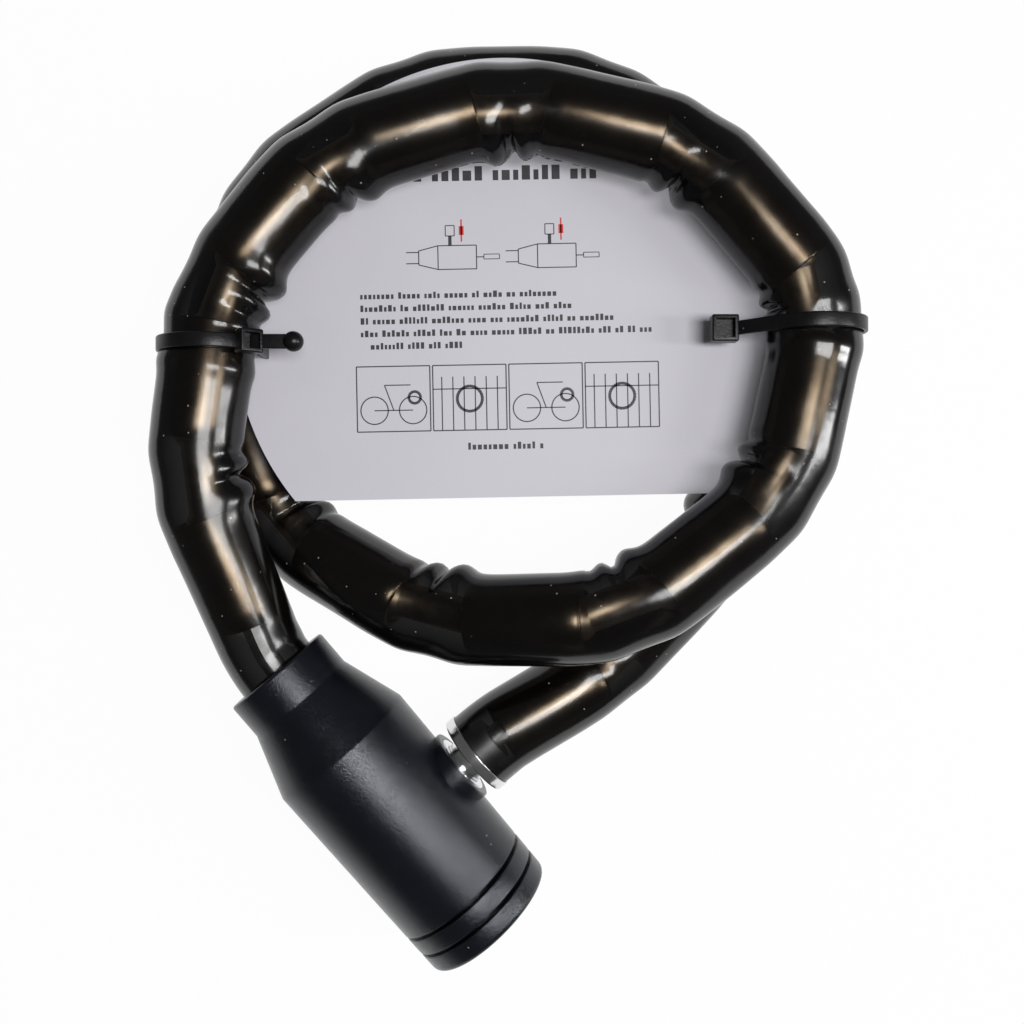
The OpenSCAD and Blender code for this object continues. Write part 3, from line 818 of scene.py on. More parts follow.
@dataclass(frozen=True)
class HousingAxes:
    """Where the housing stands: x from its rim to its key end, y along the connector's pin."""

    rim: Vector
    x: Vector
    y: Vector

    @classmethod
    def from_record(cls, record: dict) -> "HousingAxes":
        """Reads the axes from the joints and the collar's mount.

        Args:
            record: the part's record.

        Returns:
            The axes.
        """
        joints = {joint["name"]: joint for joint in record["behaviour"]["joints"]}
        mounts = {mount["name"]: mount for mount in record["mounts"]}
        x = Vector(joints["plug_turn"]["axis"]).normalized()
        y = Vector(joints["connector_slide"]["axis"]).normalized()
        collar = mounts["collar_clamp"]
        half = collar["dims"]["length_mm"] / 2 * MM
        return cls(Vector(collar["pos_m"]) - half * x, x, y)

    def point(self, x_mm: float, y_mm: float = 0.0) -> Vector:
        """Gives a point in the housing."""
        return self.rim + x_mm * MM * self.x + y_mm * MM * self.y

    def turning(self) -> Matrix:
        """Gives the matrix that lays a turned mesh along the housing, from its rim."""
        return placed(self.rim, self.y, self.x.cross(self.y), self.x)

    def pin_turning(self, x_mm: float) -> Matrix:
        """Gives the matrix that lays a turned mesh along the pin, x_mm from the rim."""
        return placed(self.point(x_mm), self.x.cross(self.y), self.x, self.y)


@dataclass(frozen=True)
class Station:
    """A point of the cable's middle line.

    Attributes:
        point: where it is.
        way: the direction of the cable there.
        run: how far along the cable it is.
        corner: the number of the nearest neck, counted from the housing.
        past: how far past that neck it is; before it, the distance is negative.
        inward: the direction to the inside of that neck's bend.
        bend: the angle of that bend, in radians.
    """

    point: Vector
    way: Vector
    run: float
    corner: int
    past: float
    inward: Vector
    bend: float


@dataclass
class CableWay:
    """The line that the cable follows, straight through each sleeve and bent at each neck."""

    axes: HousingAxes
    cable_in_mm: float = 10.0
    first_neck_mm: float = 4.0
    last_neck_mm: float = 9.0
    socket_x_mm: float = SOCKET_X_MM
    cable_out_y_mm: float = 26.15
    bend_mm: float = 18.0
    step_mm: float = 1.2
    sleeve_l_mm: float = 31.0
    corners: list[Vector] = field(init=False)
    cable_in: Vector = field(init=False)
    cable_out: Vector = field(init=False)
    split: Vector = field(init=False)

    def __post_init__(self) -> None:
        """Works out the corners and the ends."""
        self.cable_in = self.axes.point(self.cable_in_mm)
        self.cable_out = self.axes.point(self.socket_x_mm, self.cable_out_y_mm)
        last = self.cable_out + self.last_neck_mm * MM * self.axes.y
        route = [Vector(point) * MM for point in CABLE_ROUTE_MM]
        self.corners = [self.axes.point(-self.first_neck_mm), *route, last]
        self.split = self.corners[TAIL_FROM - 1].lerp(self.corners[TAIL_FROM - 2], 0.5)

    def stations(self) -> list[Station]:
        """Gives the points of the whole cable, closest together in the bends."""
        points = [self.cable_in, *self.corners, self.cable_out]
        line: list[tuple[Vector, int]] = [(points[0], 0)]
        for index in range(1, len(points) - 1):
            before, here, after = points[index - 1:index + 2]
            into = (here - before).normalized()
            out = (after - here).normalized()
            reach = min(self.bend_mm * MM, 0.48 * (here - before).length,
                        0.48 * (after - here).length)
            start = here - reach * into
            end = here + reach * out
            self._straight(line, start, index - 1)
            steps = max(4, round(2 * reach / (self.step_mm * MM)))
            for step in range(1, steps + 1):
                t = step / steps
                line.append(((1 - t) ** 2 * start + 2 * t * (1 - t) * here + t * t * end,
                             index - 1))
        self._straight(line, points[-1], len(self.corners) - 1)
        return self._measured(line)

    def _straight(self, line: list[tuple[Vector, int]], end: Vector, corner: int) -> None:
        """Fills the straight stretch up to end.

        Args:
            line: the points so far, each with the number of its neck.
            end: the end of the stretch.
            corner: the number of its neck.
        """
        start = line[-1][0]
        steps = max(1, round((end - start).length / (self.step_mm * MM)))
        for step in range(1, steps + 1):
            line.append((start.lerp(end, step / steps), corner))

    def _measured(self, line: list[tuple[Vector, int]]) -> list[Station]:
        """Turns points into stations with their directions and distances.

        Args:
            line: the points, each with the number of its neck.

        Returns:
            The stations.
        """
        runs = [0.0]
        for (a, _), (b, _) in zip(line, line[1:]):
            runs.append(runs[-1] + (b - a).length)
        middles = []
        for corner in self.corners:
            nearest = min(range(len(line)), key=lambda k: (line[k][0] - corner).length)
            middles.append(runs[nearest])
        stations = []
        ends = [self.cable_in, *self.corners, self.cable_out]
        for index, (point, _) in enumerate(line):
            low, high = max(0, index - 1), min(len(line) - 1, index + 1)
            way = (line[high][0] - line[low][0]).normalized()
            corner = min(range(len(middles)), key=lambda k: abs(middles[k] - runs[index]))
            into = (ends[corner + 1] - ends[corner]).normalized()
            out = (ends[corner + 2] - ends[corner + 1]).normalized()
            inward = out - into
            inward -= inward.dot(way) * way
            inward = inward.normalized() if inward.length > 1e-6 else Vector((0, 0, 0))
            stations.append(Station(point, way, runs[index], corner, runs[index] - middles[corner],
                                    inward, into.angle(out)))
        return stations

    def sleeve_frame(self, number: int) -> Matrix:
        """Gives the matrix of a sleeve, whose drawn-in end is nearest the housing.

        Args:
            number: the sleeve's number, from 1.

        Returns:
            The matrix.
        """
        a, b = self.corners[number - 1], self.corners[number]
        way = (b - a).normalized()
        base = a + way * ((b - a).length - self.sleeve_l_mm * MM) / 2
        return standing(base, way)

    def bobbin_ends(self, number: int, grip_mm: float) -> tuple[Vector, Vector]:
        """Gives the middles of the two balls of the bobbin at a neck.

        Args:
            number: the neck's number, from 1.
            grip_mm: how far a ball stands inside its sleeve.

        Returns:
            The two middles.
        """
        ends = []
        here = self.corners[number]
        for other in (self.corners[number - 1], self.corners[number + 1]):
            away = other - here
            run = (away.length - self.sleeve_l_mm * MM) / 2 + grip_mm * MM
            ends.append(here + away.normalized() * run)
        return ends[0], ends[1]


# ---- Cable ----

@dataclass
class ArmouredCable:
    """The sheath with its sleeves, their bobbins and the rope through them.

    Attributes:
        inner_folds: the bumps of the sheath's folds inside a bend, along the cable, each with its
            height as a share of crease_mm, its place and its half width in millimetres.
        outer_folds: the same outside a bend.
        full_fold_degrees: the bend at which the folds are at their deepest.
        ripple_mm: how high the sheath's shallow waves stand.
    """

    way: CableWay
    finishes: Finishes
    sheath_d_mm: float = SHEATH_D_MM
    loose_w_mm: float = LOOSE_W_MM
    loose_h_mm: float = LOOSE_H_MM
    slack_run_mm: float = 60.0
    sheath_sides: int = 64
    sleeve_d_mm: float = 17.6
    sleeve_wall_mm: float = 0.8
    dome_l_mm: float = 5.0
    dome_d_mm: float = 14.6
    bobbin_neck_d_mm: float = 9.6
    bobbin_ball_d_mm: float = 12.4
    bobbin_grip_mm: float = 3.0
    rope_d_mm: float = 6.4
    crease_mm: float = 1.5
    inner_folds: tuple[Triple, ...] = ((1.15, 5.5, 3.6), (-1.35, 0, 1.5), (0.55, -3.6, 2.2),
                                       (-0.5, -7.5, 1.6))
    outer_folds: tuple[Triple, ...] = ((1, 7, 4), (1, -7, 4), (-1, 0, 6))
    full_fold_degrees: float = 30
    ripple_mm: float = 0.3

    def make(self, plugged: Sequence[bpy.types.Object]) -> None:
        """Builds the cable's pieces.

        Args:
            plugged: the connector's pieces at the cable's free end; not used.
        """
        self._sleeves()
        self._bobbins()
        self._rope()
        self._sheath()

    def _settle(self, piece: bpy.types.Object, in_tail: bool) -> None:
        """Lets a piece ride on the housing, or, in the tail, bakes its place into its mesh.

        Args:
            piece: the piece.
            in_tail: whether it belongs to the cable's last quarter.
        """
        if not in_tail:
            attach(piece, Member.HOUSING.value)
            return
        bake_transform(piece)

    def _sleeve_outline(self) -> list[Pair]:
        """Gives the outline of a sleeve: a drawn-in dome, a straight wall and a rolled rim."""
        r = self.sleeve_d_mm / 2
        wall = self.sleeve_wall_mm
        drop = r - self.dome_d_mm / 2
        arc = []
        for k in range(9):
            t = math.radians(90 * k / 8)
            arc.append((r - drop * (1 - math.sin(t)), self.dome_l_mm * (1 - math.cos(t))))
        outer = arc + [(r, self.sleeve_l - 0.5), (r - 0.12, self.sleeve_l - 0.12),
                       (r - 0.4, self.sleeve_l), (r - wall, self.sleeve_l - 0.25)]
        inner = [(x - wall, max(0.1, z)) for x, z in reversed(arc)]
        return outer + inner

    @property
    def sleeve_l(self) -> float:
        """The length of a sleeve in millimetres."""
        return self.way.sleeve_l_mm

    def _sleeves(self) -> None:
        """Builds the sleeves."""
        count = len(self.way.corners) - 1
        for number in range(1, count + 1):
            name = f"sleeve_{number:02d}"
            piece = lay(f"steel_{name}", name, self.way.sleeve_frame(number),
                        self._sleeve_outline(), 72, self.finishes.sleeve,
                        sharp_degrees=50)
            if number == count:
                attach(piece, Member.CONNECTOR.value)
            else:
                self._settle(piece, number >= TAIL_FROM)

    def _bobbins(self) -> None:
        """Builds the bobbins that join the sleeves."""
        still, tail = bmesh.new(), bmesh.new()
        ball = self.bobbin_ball_d_mm / 2
        neck = self.bobbin_neck_d_mm / 2
        for number in range(1, len(self.way.corners) - 1):
            a, b = self.way.bobbin_ends(number, self.bobbin_grip_mm)
            length = (b - a).length / MM
            lean = math.asin(neck / ball)
            half = [(ball * math.cos(t), ball * math.sin(t)) for t in
                    (math.radians(-14 + k * (104 - math.degrees(lean)) / 9) for k in range(10))]
            outline = half + [(neck, length / 2)] + [(x, length - z) for x, z in reversed(half)]
            mesh = turned(outline, 40)
            mesh.transform(standing(a, b - a))
            add_to(tail if number >= TAIL_FROM - 1 else still, mesh)
        for mesh, name, in_tail in ((still, "neck_bobbins", False),
                                    (tail, "neck_bobbins_tail", True)):
            piece = make_piece(f"turned_{name}", mesh, self.finishes.bobbin,
                               node=name, sharp_degrees=50)
            self._settle(piece, in_tail)

    def _rope(self) -> None:
        """Builds the rope's tail; the rest stays as it is."""
        corners = self.way.corners
        points = [self.way.split]
        for number in range(TAIL_FROM - 1, len(corners) - 1):
            points.extend(self.way.bobbin_ends(number, self.bobbin_grip_mm))
        points += [corners[-1], self.way.axes.point(self.way.socket_x_mm,
                                                    self.way.cable_out_y_mm + 1.2)]
        mesh = bmesh.new()
        rings = []
        for index, point in enumerate(points):
            way = points[min(index + 1, len(points) - 1)] - points[max(0, index - 1)]
            turn = standing(point, way)
            rings.append([mesh.verts.new(turn @ (Vector((x, y, 0)) * MM))
                          for x, y in circle(self.rope_d_mm / 2, 24)])
        loft(mesh, rings)
        piece = make_piece("rope_tail", mesh, self.finishes.rope,
                           node="core_rope_tail", sharp_degrees=60)
        self._settle(piece, True)

    def _girth(self, run: float, total: float) -> Pair:
        """Gives the sheath's half width and half height at a distance along the cable.

        Args:
            run: the distance.
            total: the cable's length.

        Returns:
            The two halves, in metres.
        """
        ends = min(run, total - run) / MM - self.way.cable_in_mm
        t = smooth_step(ends / self.slack_run_mm)
        width = self.sheath_d_mm + (self.loose_w_mm - self.sheath_d_mm) * t
        height = self.sheath_d_mm + (self.loose_h_mm - self.sheath_d_mm) * t
        return width / 2 * MM, height / 2 * MM

    def _fold(self, station: Station, out: Vector) -> float:
        """Gives how far the sheath's wall is pushed out by its folds at a bend.

        Args:
            station: the point of the cable.
            out: the direction from the cable's middle to the wall.

        Returns:
            The distance in metres, negative where the wall is drawn in.
        """
        share = min(1.0, station.bend / math.radians(self.full_fold_degrees))
        dice = random.Random(station.corner * 7 + 3)
        hand = dice.choice((-1, 1))
        past = hand * (station.past / MM - dice.uniform(-2.0, 2.0))
        deep = dice.uniform(0.7, 1.2)
        around = dice.uniform(-0.5, 0.5)
        inside = out.dot(station.inward)
        lean = past + around * 6 * out.z
        if inside > 0:
            push = inside ** 1.5 * bumps(lean, self.inner_folds) * deep
        else:
            push = 0.28 * inside * inside * bumps(past, self.outer_folds)
        ripple = noise.noise(Vector((station.run * 42, out.x * 1.4, out.y * 1.4 + out.z)))
        nip = self._nip(station) if station.corner < TAIL_FROM // 2 else 0.0
        return (push * share * self.crease_mm + nip + self.ripple_mm * ripple) * MM

    def _nip(self, station: Station) -> float:
        """Gives how far a tie draws the upper loop's sheath in, and how far it swells beside it.

        Args:
            station: the point of the cable.

        Returns:
            The distance in millimetres, negative where drawn in.
        """
        plane = TIE_PLANES_MM[station.point.x > 0]
        past = station.point.y / MM - plane
        return 0.55 * bell(abs(past) - 5.5, 2.6) - 0.35 * bell(past, 2.0)

    def _tube(self, stations: Sequence[Station], total: float) -> bmesh.types.BMesh:
        """Lofts the sheath's wall over stations.

        Args:
            stations: the points that it runs through.
            total: the cable's length.

        Returns:
            The wall.
        """
        mesh = bmesh.new()
        rings = []
        for station in stations:
            side = station.way.cross(Vector((0, 0, 1))).normalized()
            up = side.cross(station.way)
            half_w, half_h = self._girth(station.run, total)
            drawn_tight = half_h / (self.sheath_d_mm / 2 * MM)
            loose = 1 - smooth_step((drawn_tight - 0.97) / 0.03) * 0.85
            ring = []
            for x, y in circle(1.0, self.sheath_sides):
                out = x * side + y * up
                reach = half_w * x * side + half_h * y * up
                ring.append(mesh.verts.new(station.point + reach
                                           + out * self._fold(station, out) * loose))
            rings.append(ring)
        loft(mesh, rings, clockwise=True)
        bmesh.ops.recalc_face_normals(mesh, faces=mesh.faces)
        return mesh

    def _sheath(self) -> None:
        """Builds the sheath in two lengths, parted inside a sleeve.
        """
        stations = self.way.stations()
        total = stations[-1].run
        cut = min(range(len(stations)), key=lambda k: (stations[k].point - self.way.split).length)
        for name, run, in_tail in (("sheath", stations[:cut + 1], False),
                                   ("sheath_tail", stations[cut:], True)):
            piece = make_piece(f"smoky_{name}", self._tube(run, total), self.finishes.sheath,
                               node=name, sharp_degrees=180)
            self._settle(piece, in_tail)


# ---- Housing ----

@dataclass
class LockHousing:
    """The black housing: cover, band and end cap, with the bush of its socket."""

    axes: HousingAxes
    finishes: Finishes
    collar_d_mm: float = 29.9
    collar_l_mm: float = 10.0
    cone_end_mm: float = 27.0
    barrel_d_mm: float = 40.8
    barrel_end_d_mm: float = 39.0
    cover_l_mm: float = 76.5
    groove_w_mm: float = 0.9
    groove_h_mm: float = 2.3
    band_w_mm: float = 4.9
    cap_l_mm: float = 5.6
    cable_bore_mm: float = 23.0
    body_bore_mm: float = 34.8
    key_hole_mm: float = 13.8
    key_face_mm: float = 86.2
    recess_r_mm: float = 12.1
    socket_x_mm: float = SOCKET_X_MM
    boss_d_mm: float = 20.6
    boss_h_mm: float = 1.5
    boss_foot_mm: float = 14
    bush_d_mm: float = 16.4
    bush_bore_mm: float = 12.0
    bush_l_mm: float = 4.2
    bush_stand_mm: float = 0.2

    def make(self) -> None:
        """Builds the housing's pieces."""
        self._cover()
        self._band()
        self._end_cap()
        self._bush()

    @property
    def length_mm(self) -> float:
        """The housing's length."""
        return self.band_from_mm + self.band_w_mm + self.groove_w_mm + self.cap_l_mm

    @property
    def band_from_mm(self) -> float:
        """Where the band starts."""
        return self.cover_l_mm + self.groove_w_mm

    @property
    def boss_top_mm(self) -> float:
        """How high the boss stands above the housing's axis."""
        return self._barrel_r(self.socket_x_mm) + self.boss_h_mm

    def _barrel_r(self, x_mm: float) -> float:
        """Gives the barrel's radius."""
        share = (x_mm - self.cone_end_mm) / (self.length_mm - self.cone_end_mm)
        return (self.barrel_d_mm + (self.barrel_end_d_mm - self.barrel_d_mm) * share) / 2

    def _lay(self, name: str, node: str, outline: Sequence[Pair],
             body: Member | None = Member.HOUSING) -> bpy.types.Object:
        """Lays a grained piece along the housing."""
        return lay(name, node, self.axes.turning(), outline, 128, self.finishes.housing,
                   body)

    def _cover(self) -> None:
        """Builds the cover with its socket."""
        bore = self.cable_bore_mm / 2
        inner = self.body_bore_mm / 2
        end = self.cover_l_mm
        corners = [(bore, 0), (self.collar_d_mm / 2, 0), (self.collar_d_mm / 2, self.collar_l_mm),
                   (self.barrel_d_mm / 2, self.cone_end_mm), (self._barrel_r(end), end),
                   (inner, end), (inner, self.cone_end_mm), (bore, self.collar_l_mm)]
        outline = rounded(corners, [0.5, 0.9, 1.6, 1.8, 0.45, 0.1, 0, 0], 5, closed=True)
        piece = self._lay("grained_cover", "housing_cover", outline, None)
        foot = self.boss_foot_mm
        for top, width, operation in ((self.boss_top_mm, self.boss_d_mm, "UNION"),
                                      (self.boss_top_mm + 3, self.bush_d_mm + 0.1, "DIFFERENCE")):
            r = width / 2
            shape = rounded([(0, foot), (r, foot), (r, top), (0, top)],
                            [0, 0, 0.5 if operation == "UNION" else 0, 0])
            tool = turned(shape, 96)
            tool.transform(self.axes.pin_turning(self.socket_x_mm))
            combine(piece, tool, operation)
        piece.data.set_sharp_from_angle(angle=math.radians(30))
        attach(piece, Member.HOUSING.value)

    def _band(self) -> None:
        """Builds the band between the two grooves."""
        low, high = self.band_from_mm, self.band_from_mm + self.band_w_mm
        inner = self.barrel_end_d_mm / 2 - self.groove_h_mm + 0.15
        corners = [(inner, low), (self._barrel_r(low), low), (self._barrel_r(high), high),
                   (inner, high)]
        outline = rounded(corners, [0, 0.4, 0.4, 0], 4, closed=True)
        self._lay("grained_band", "cover_band", outline)

    def _end_cap(self) -> None:
        """Builds the end cap with the hole in front of the key slot."""
        start = self.band_from_mm + self.band_w_mm + self.groove_w_mm
        end = self.length_mm
        skirt = self.barrel_end_d_mm / 2 - self.groove_h_mm + 0.1
        hole = self.key_hole_mm / 2
        face = self.key_face_mm + 0.15
        corners = [(skirt - 2, self.cover_l_mm + 0.1), (skirt, self.cover_l_mm + 0.1),
                   (skirt, start), (self._barrel_r(start), start), (self._barrel_r(end), end),
                   (hole, end), (hole, face), (self.recess_r_mm, face),
                   (self.recess_r_mm, start), (skirt - 2, start)]
        outline = rounded(corners, [0, 0, 0, 0.4, 1.7, 0.5, 0, 0, 0, 0], 6, closed=True)
        self._lay("grained_end_cap", "end_cap", outline)

    def _bush(self) -> None:
        """Builds the socket's bright bush."""
        high = self.boss_top_mm + self.bush_stand_mm
        low = high - self.bush_l_mm
        bore, outer = self.bush_bore_mm / 2, self.bush_d_mm / 2
        outline = rounded([(bore, low), (outer, low), (outer, high), (bore, high)],
                          [0, 0, 0.35, 0.6], 4, closed=True)
        lay("bright_bush", "socket_bush", self.axes.pin_turning(self.socket_x_mm), outline, 72,
            self.finishes.bright, Member.HOUSING)


@dataclass
class Connector:
    """The pin and the cap at the cable's free end."""

    axes: HousingAxes
    finishes: Finishes
    socket_x_mm: float = SOCKET_X_MM
    neck_d_mm: float = 11.8
    nose_d_mm: float = 10.0
    groove_d_mm: float = 6.8
    groove_w_mm: float = 3.4
    groove_y_mm: float = 2.3
    step_y_mm: float = 7.6
    nose_y_mm: float = -1.5
    seat_y_mm: float = 24.9
    cap_d_mm: float = 22.8
    disc_mm: float = 1.2
    lip_mm: float = 1.7
    sheath_d_mm: float = SHEATH_D_MM

    def make(self) -> list[bpy.types.Object]:
        """Builds the connector's pieces.

        Returns:
            The pin and the cap.
        """
        nose, groove, neck = self.nose_d_mm / 2, self.groove_d_mm / 2, self.neck_d_mm / 2
        low = self.groove_y_mm - self.groove_w_mm / 2
        high = self.groove_y_mm + self.groove_w_mm / 2
        pin = rounded([(0, self.nose_y_mm), (nose, self.nose_y_mm), (nose, low), (groove, low),
                       (groove, high), (nose, high), (nose, self.step_y_mm),
                       (neck, self.step_y_mm), (neck, self.seat_y_mm), (0, self.seat_y_mm)],
                      [0, 0.9, 0.2, 0.2, 0.2, 0.2, 0.1, 0.5, 0, 0], 4)
        lock_pin = self._lay("bright_pin", "lock_pin", pin, False)
        r, lip = self.cap_d_mm / 2, self.sheath_d_mm / 2 + 0.05
        top = self.seat_y_mm + self.disc_mm
        cap = rounded([(0.01, self.seat_y_mm), (r, self.seat_y_mm), (r, top + self.lip_mm),
                       (lip, top + self.lip_mm), (lip, top), (0.01, top)],
                      [0, 0.55, 0.2, 0.12, 0.05, 0], 5, closed=True)
        return [lock_pin, self._lay("bright_cap", "connector_cap", cap, True)]

    def _lay(self, name: str, node: str, outline: Sequence[Pair],
             closed: bool) -> bpy.types.Object:
        """Lays a bright piece along the pin's axis."""
        return lay(name, node, self.axes.pin_turning(self.socket_x_mm), outline, 96,
                   self.finishes.bright, Member.CONNECTOR, closed)


# ---- Ties ----

@dataclass
class CableTie:
    """A nylon tie drawn round the upper and the lower loop.

    Attributes:
        node: the solid that it stands for.
        y_mm: the plane that the strap lies in.
        top: the middle of the upper cable in that plane, across and up.
        low: the middle of the lower cable there.
        finishes: the lock's materials.
        turn: the middle of the strap's turn at a head on the card, if it has one.
        shoulder_degrees: where the other head stands on the upper cable, up from its side.
        lean_degrees: how far that head leans.
        stub_mm: the length of the strap's cut end.
        stub_at_mm: where that end starts, from the shoulder.
        window_mm: the steps of the head's window, each further in and further down.
    """

    name: str
    node: str
    y_mm: float
    top: Pair
    low: Pair
    finishes: Finishes
    turn: Pair | None = None
    turn_r_mm: float = 1.2
    gap_mm: float = 0.3
    strap_w_mm: float = 3.7
    strap_t_mm: float = 1.1
    strap_edge_mm: float = 0.35
    head_mm: float = 6.0
    head_h_mm: float = 4.4
    head_edge_mm: float = 0.55
    window_mm: tuple[Pair, ...] = ((0.6, 0.0), (0.12, -0.35), (0.1, -1.9))
    shoulder_degrees: float = 32
    lean_degrees: float = 38
    stub_mm: float = 9.5
    stub_at_mm: Triple = (1.5, 0, 1.15)
    tip_r_mm: float = 2.6
    tip_past_mm: float = 1.4
    strap_steps: int = 220

    def _reach(self) -> Pair:
        """Gives how far the strap's middle lies from a cable's middle, across and up."""
        lie = self.gap_mm + self.strap_t_mm / 2
        return LOOSE_W_MM / 2 + lie, LOOSE_H_MM / 2 + lie

    def _outline(self) -> list[Vector]:
        """Gives the line along the middle of the strap's thickness, in the tie's plane."""
        half_w, half_h = self._reach()
        points = [(middle[0] + half_w * x, middle[1] + half_h * y)
                  for middle in (self.top, self.low) for x, y in circle(1.0, 96)]
        if self.turn:
            r = self.turn_r_mm + self.gap_mm + self.strap_t_mm / 2
            points += [(self.turn[0] + x, self.turn[1] + y) for x, y in circle(r, 24)]
        line = [Vector((x, self.y_mm, z)) * MM for x, z in convex_outline(points)]
        return evenly(line, self.strap_steps)

    def _strap(self) -> bmesh.types.BMesh:
        """Sweeps the strap, with rounded edges."""
        mesh = bmesh.new()
        line = self._outline()
        half_w, half_t = self.strap_w_mm / 2 * MM, self.strap_t_mm / 2 * MM
        section = rounded([(-half_w, -half_t), (half_w, -half_t), (half_w, half_t),
                           (-half_w, half_t)], self.strap_edge_mm * MM, 3, closed=True)
        rings = []
        for index, point in enumerate(line):
            way = (line[(index + 1) % len(line)] - line[index - 1]).normalized()
            across = Vector((0, 1, 0))
            out = across.cross(way) * -1
            rings.append([mesh.verts.new(point + across * u + out * v) for u, v in section])
        loft(mesh, rings, closed=True)
        return mesh

    def _head(self) -> bmesh.types.BMesh:
        """Builds the head, a rounded block with a window for the strap."""
        size = Vector((self.head_mm, self.head_mm, self.head_h_mm)) * MM
        mesh = bevelled_block(size, self.head_edge_mm * MM, 4)
        top = max(mesh.faces, key=lambda face: (round(face.calc_center_median().z, 6),
                                                face.calc_area()))
        for thickness, depth in self.window_mm:
            bmesh.ops.inset_individual(mesh, faces=[top], thickness=thickness * MM,
                                       depth=depth * MM)
        return mesh

    def make(self) -> None:
        """Builds the tie."""
        mesh = self._strap()
        head = self._head()
        if self.turn:
            middle = Vector((self.turn[0] - self.turn_r_mm - self.head_mm / 2 - self.gap_mm,
                             self.y_mm, self.turn[1])) * MM
            head.transform(Matrix.Translation(middle))
        else:
            self._cut_end(mesh)
            lean = Matrix.Rotation(math.radians(self.lean_degrees), 4, "Y")
            lift = Matrix.Translation((0, 0, self.head_h_mm / 2 * MM))
            head.transform(Matrix.Translation(self._shoulder()) @ lean @ lift)
        add_to(mesh, head)
        bmesh.ops.recalc_face_normals(mesh, faces=mesh.faces)
        make_piece(self.name, mesh, self.finishes.tie, Member.HOUSING, self.node, 40)

    def _shoulder(self) -> Vector:
        """Gives the point of the upper cable's shoulder that the head stands on."""
        half_w, half_h = self._reach()
        a = math.radians(self.shoulder_degrees)
        return Vector((self.top[0] + half_w * math.cos(a), self.y_mm,
                       self.top[1] + half_h * math.sin(a))) * MM

    def _cut_end(self, mesh: bmesh.types.BMesh) -> None:
        """Adds the strap's cut end past the head, with its rounded tip.

        Args:
            mesh: the tie's mesh.
        """
        base = self._shoulder() + Vector(self.stub_at_mm) * MM
        size = Vector((self.stub_mm, self.strap_w_mm, self.strap_t_mm)) * MM
        stub = bevelled_block(size, 0.3 * MM, 3)
        stub.transform(Matrix.Translation(base + Vector((self.stub_mm / 2, 0, 0)) * MM))
        add_to(mesh, stub)
        tip = bmesh.new()
        bmesh.ops.create_uvsphere(tip, u_segments=32, v_segments=20, radius=self.tip_r_mm * MM)
        past = Vector((self.stub_mm + self.tip_past_mm, 0, 0)) * MM
        tip.transform(Matrix.Translation(base + past))
        add_to(mesh, tip)


# ---- Card ----

class Pen:
    """Prints flat strokes in one ink. Its lengths are in millimetres."""

    def __init__(self, height: float) -> None:
        """Starts a print at a height over the foot of the card."""
        self.mesh = bmesh.new()
        self.height = height

    def bar(self, start: Pair, end: Pair, width: float = 0.3) -> None:
        """Prints a straight stroke.

        Args:
            start: the middle of its first end.
            end: the middle of its other end.
            width: its width.
        """
        a, b = Vector(start), Vector(end)
        way = (b - a).normalized()
        side = Vector((-way.y, way.x)) * width / 2
        corners = [a - side, b - side, b + side, a + side]
        self.mesh.faces.new([self.mesh.verts.new((p.x * MM, p.y * MM, self.height * MM))
                             for p in corners])

    def path(self, points: Sequence[Pair], width: float) -> None:
        """Prints a closed line of strokes.

        Args:
            points: its corners.
            width: the strokes' width.
        """
        for a, b in zip(points, [*points[1:], points[0]]):
            self.bar(a, b, width)

    def ring(self, centre: Pair, radius: float, width: float) -> None:
        """Prints a circle of strokes."""
        self.path([(centre[0] + x, centre[1] + y) for x, y in circle(radius, 28)], width)

    def box(self, low: Pair, high: Pair, width: float) -> None:
        """Prints a frame of strokes."""
        self.path([low, (high[0], low[1]), high, (low[0], high[1])], width)

    def words(self, start: Pair, length: float, height: float, dice: random.Random) -> None:
        """Prints groups of small plain blocks in the place of words.

        Args:
            start: the left end of the line.
            length: its length.
            height: the height of a block.
            dice: chooses how many blocks stand together.
        """
        x, y = start
        end = x + length
        while x < end:
            for _ in range(dice.randint(2, 8)):
                width = dice.uniform(0.34, 0.6) * height
                if x + width > end:
                    break
                tall = height * dice.choice((0.7, 0.7, 1.0))
                self.bar((x, y + tall / 2), (x + width, y + tall / 2), tall)
                x += width + 0.24 * height
            x += 0.5 * height


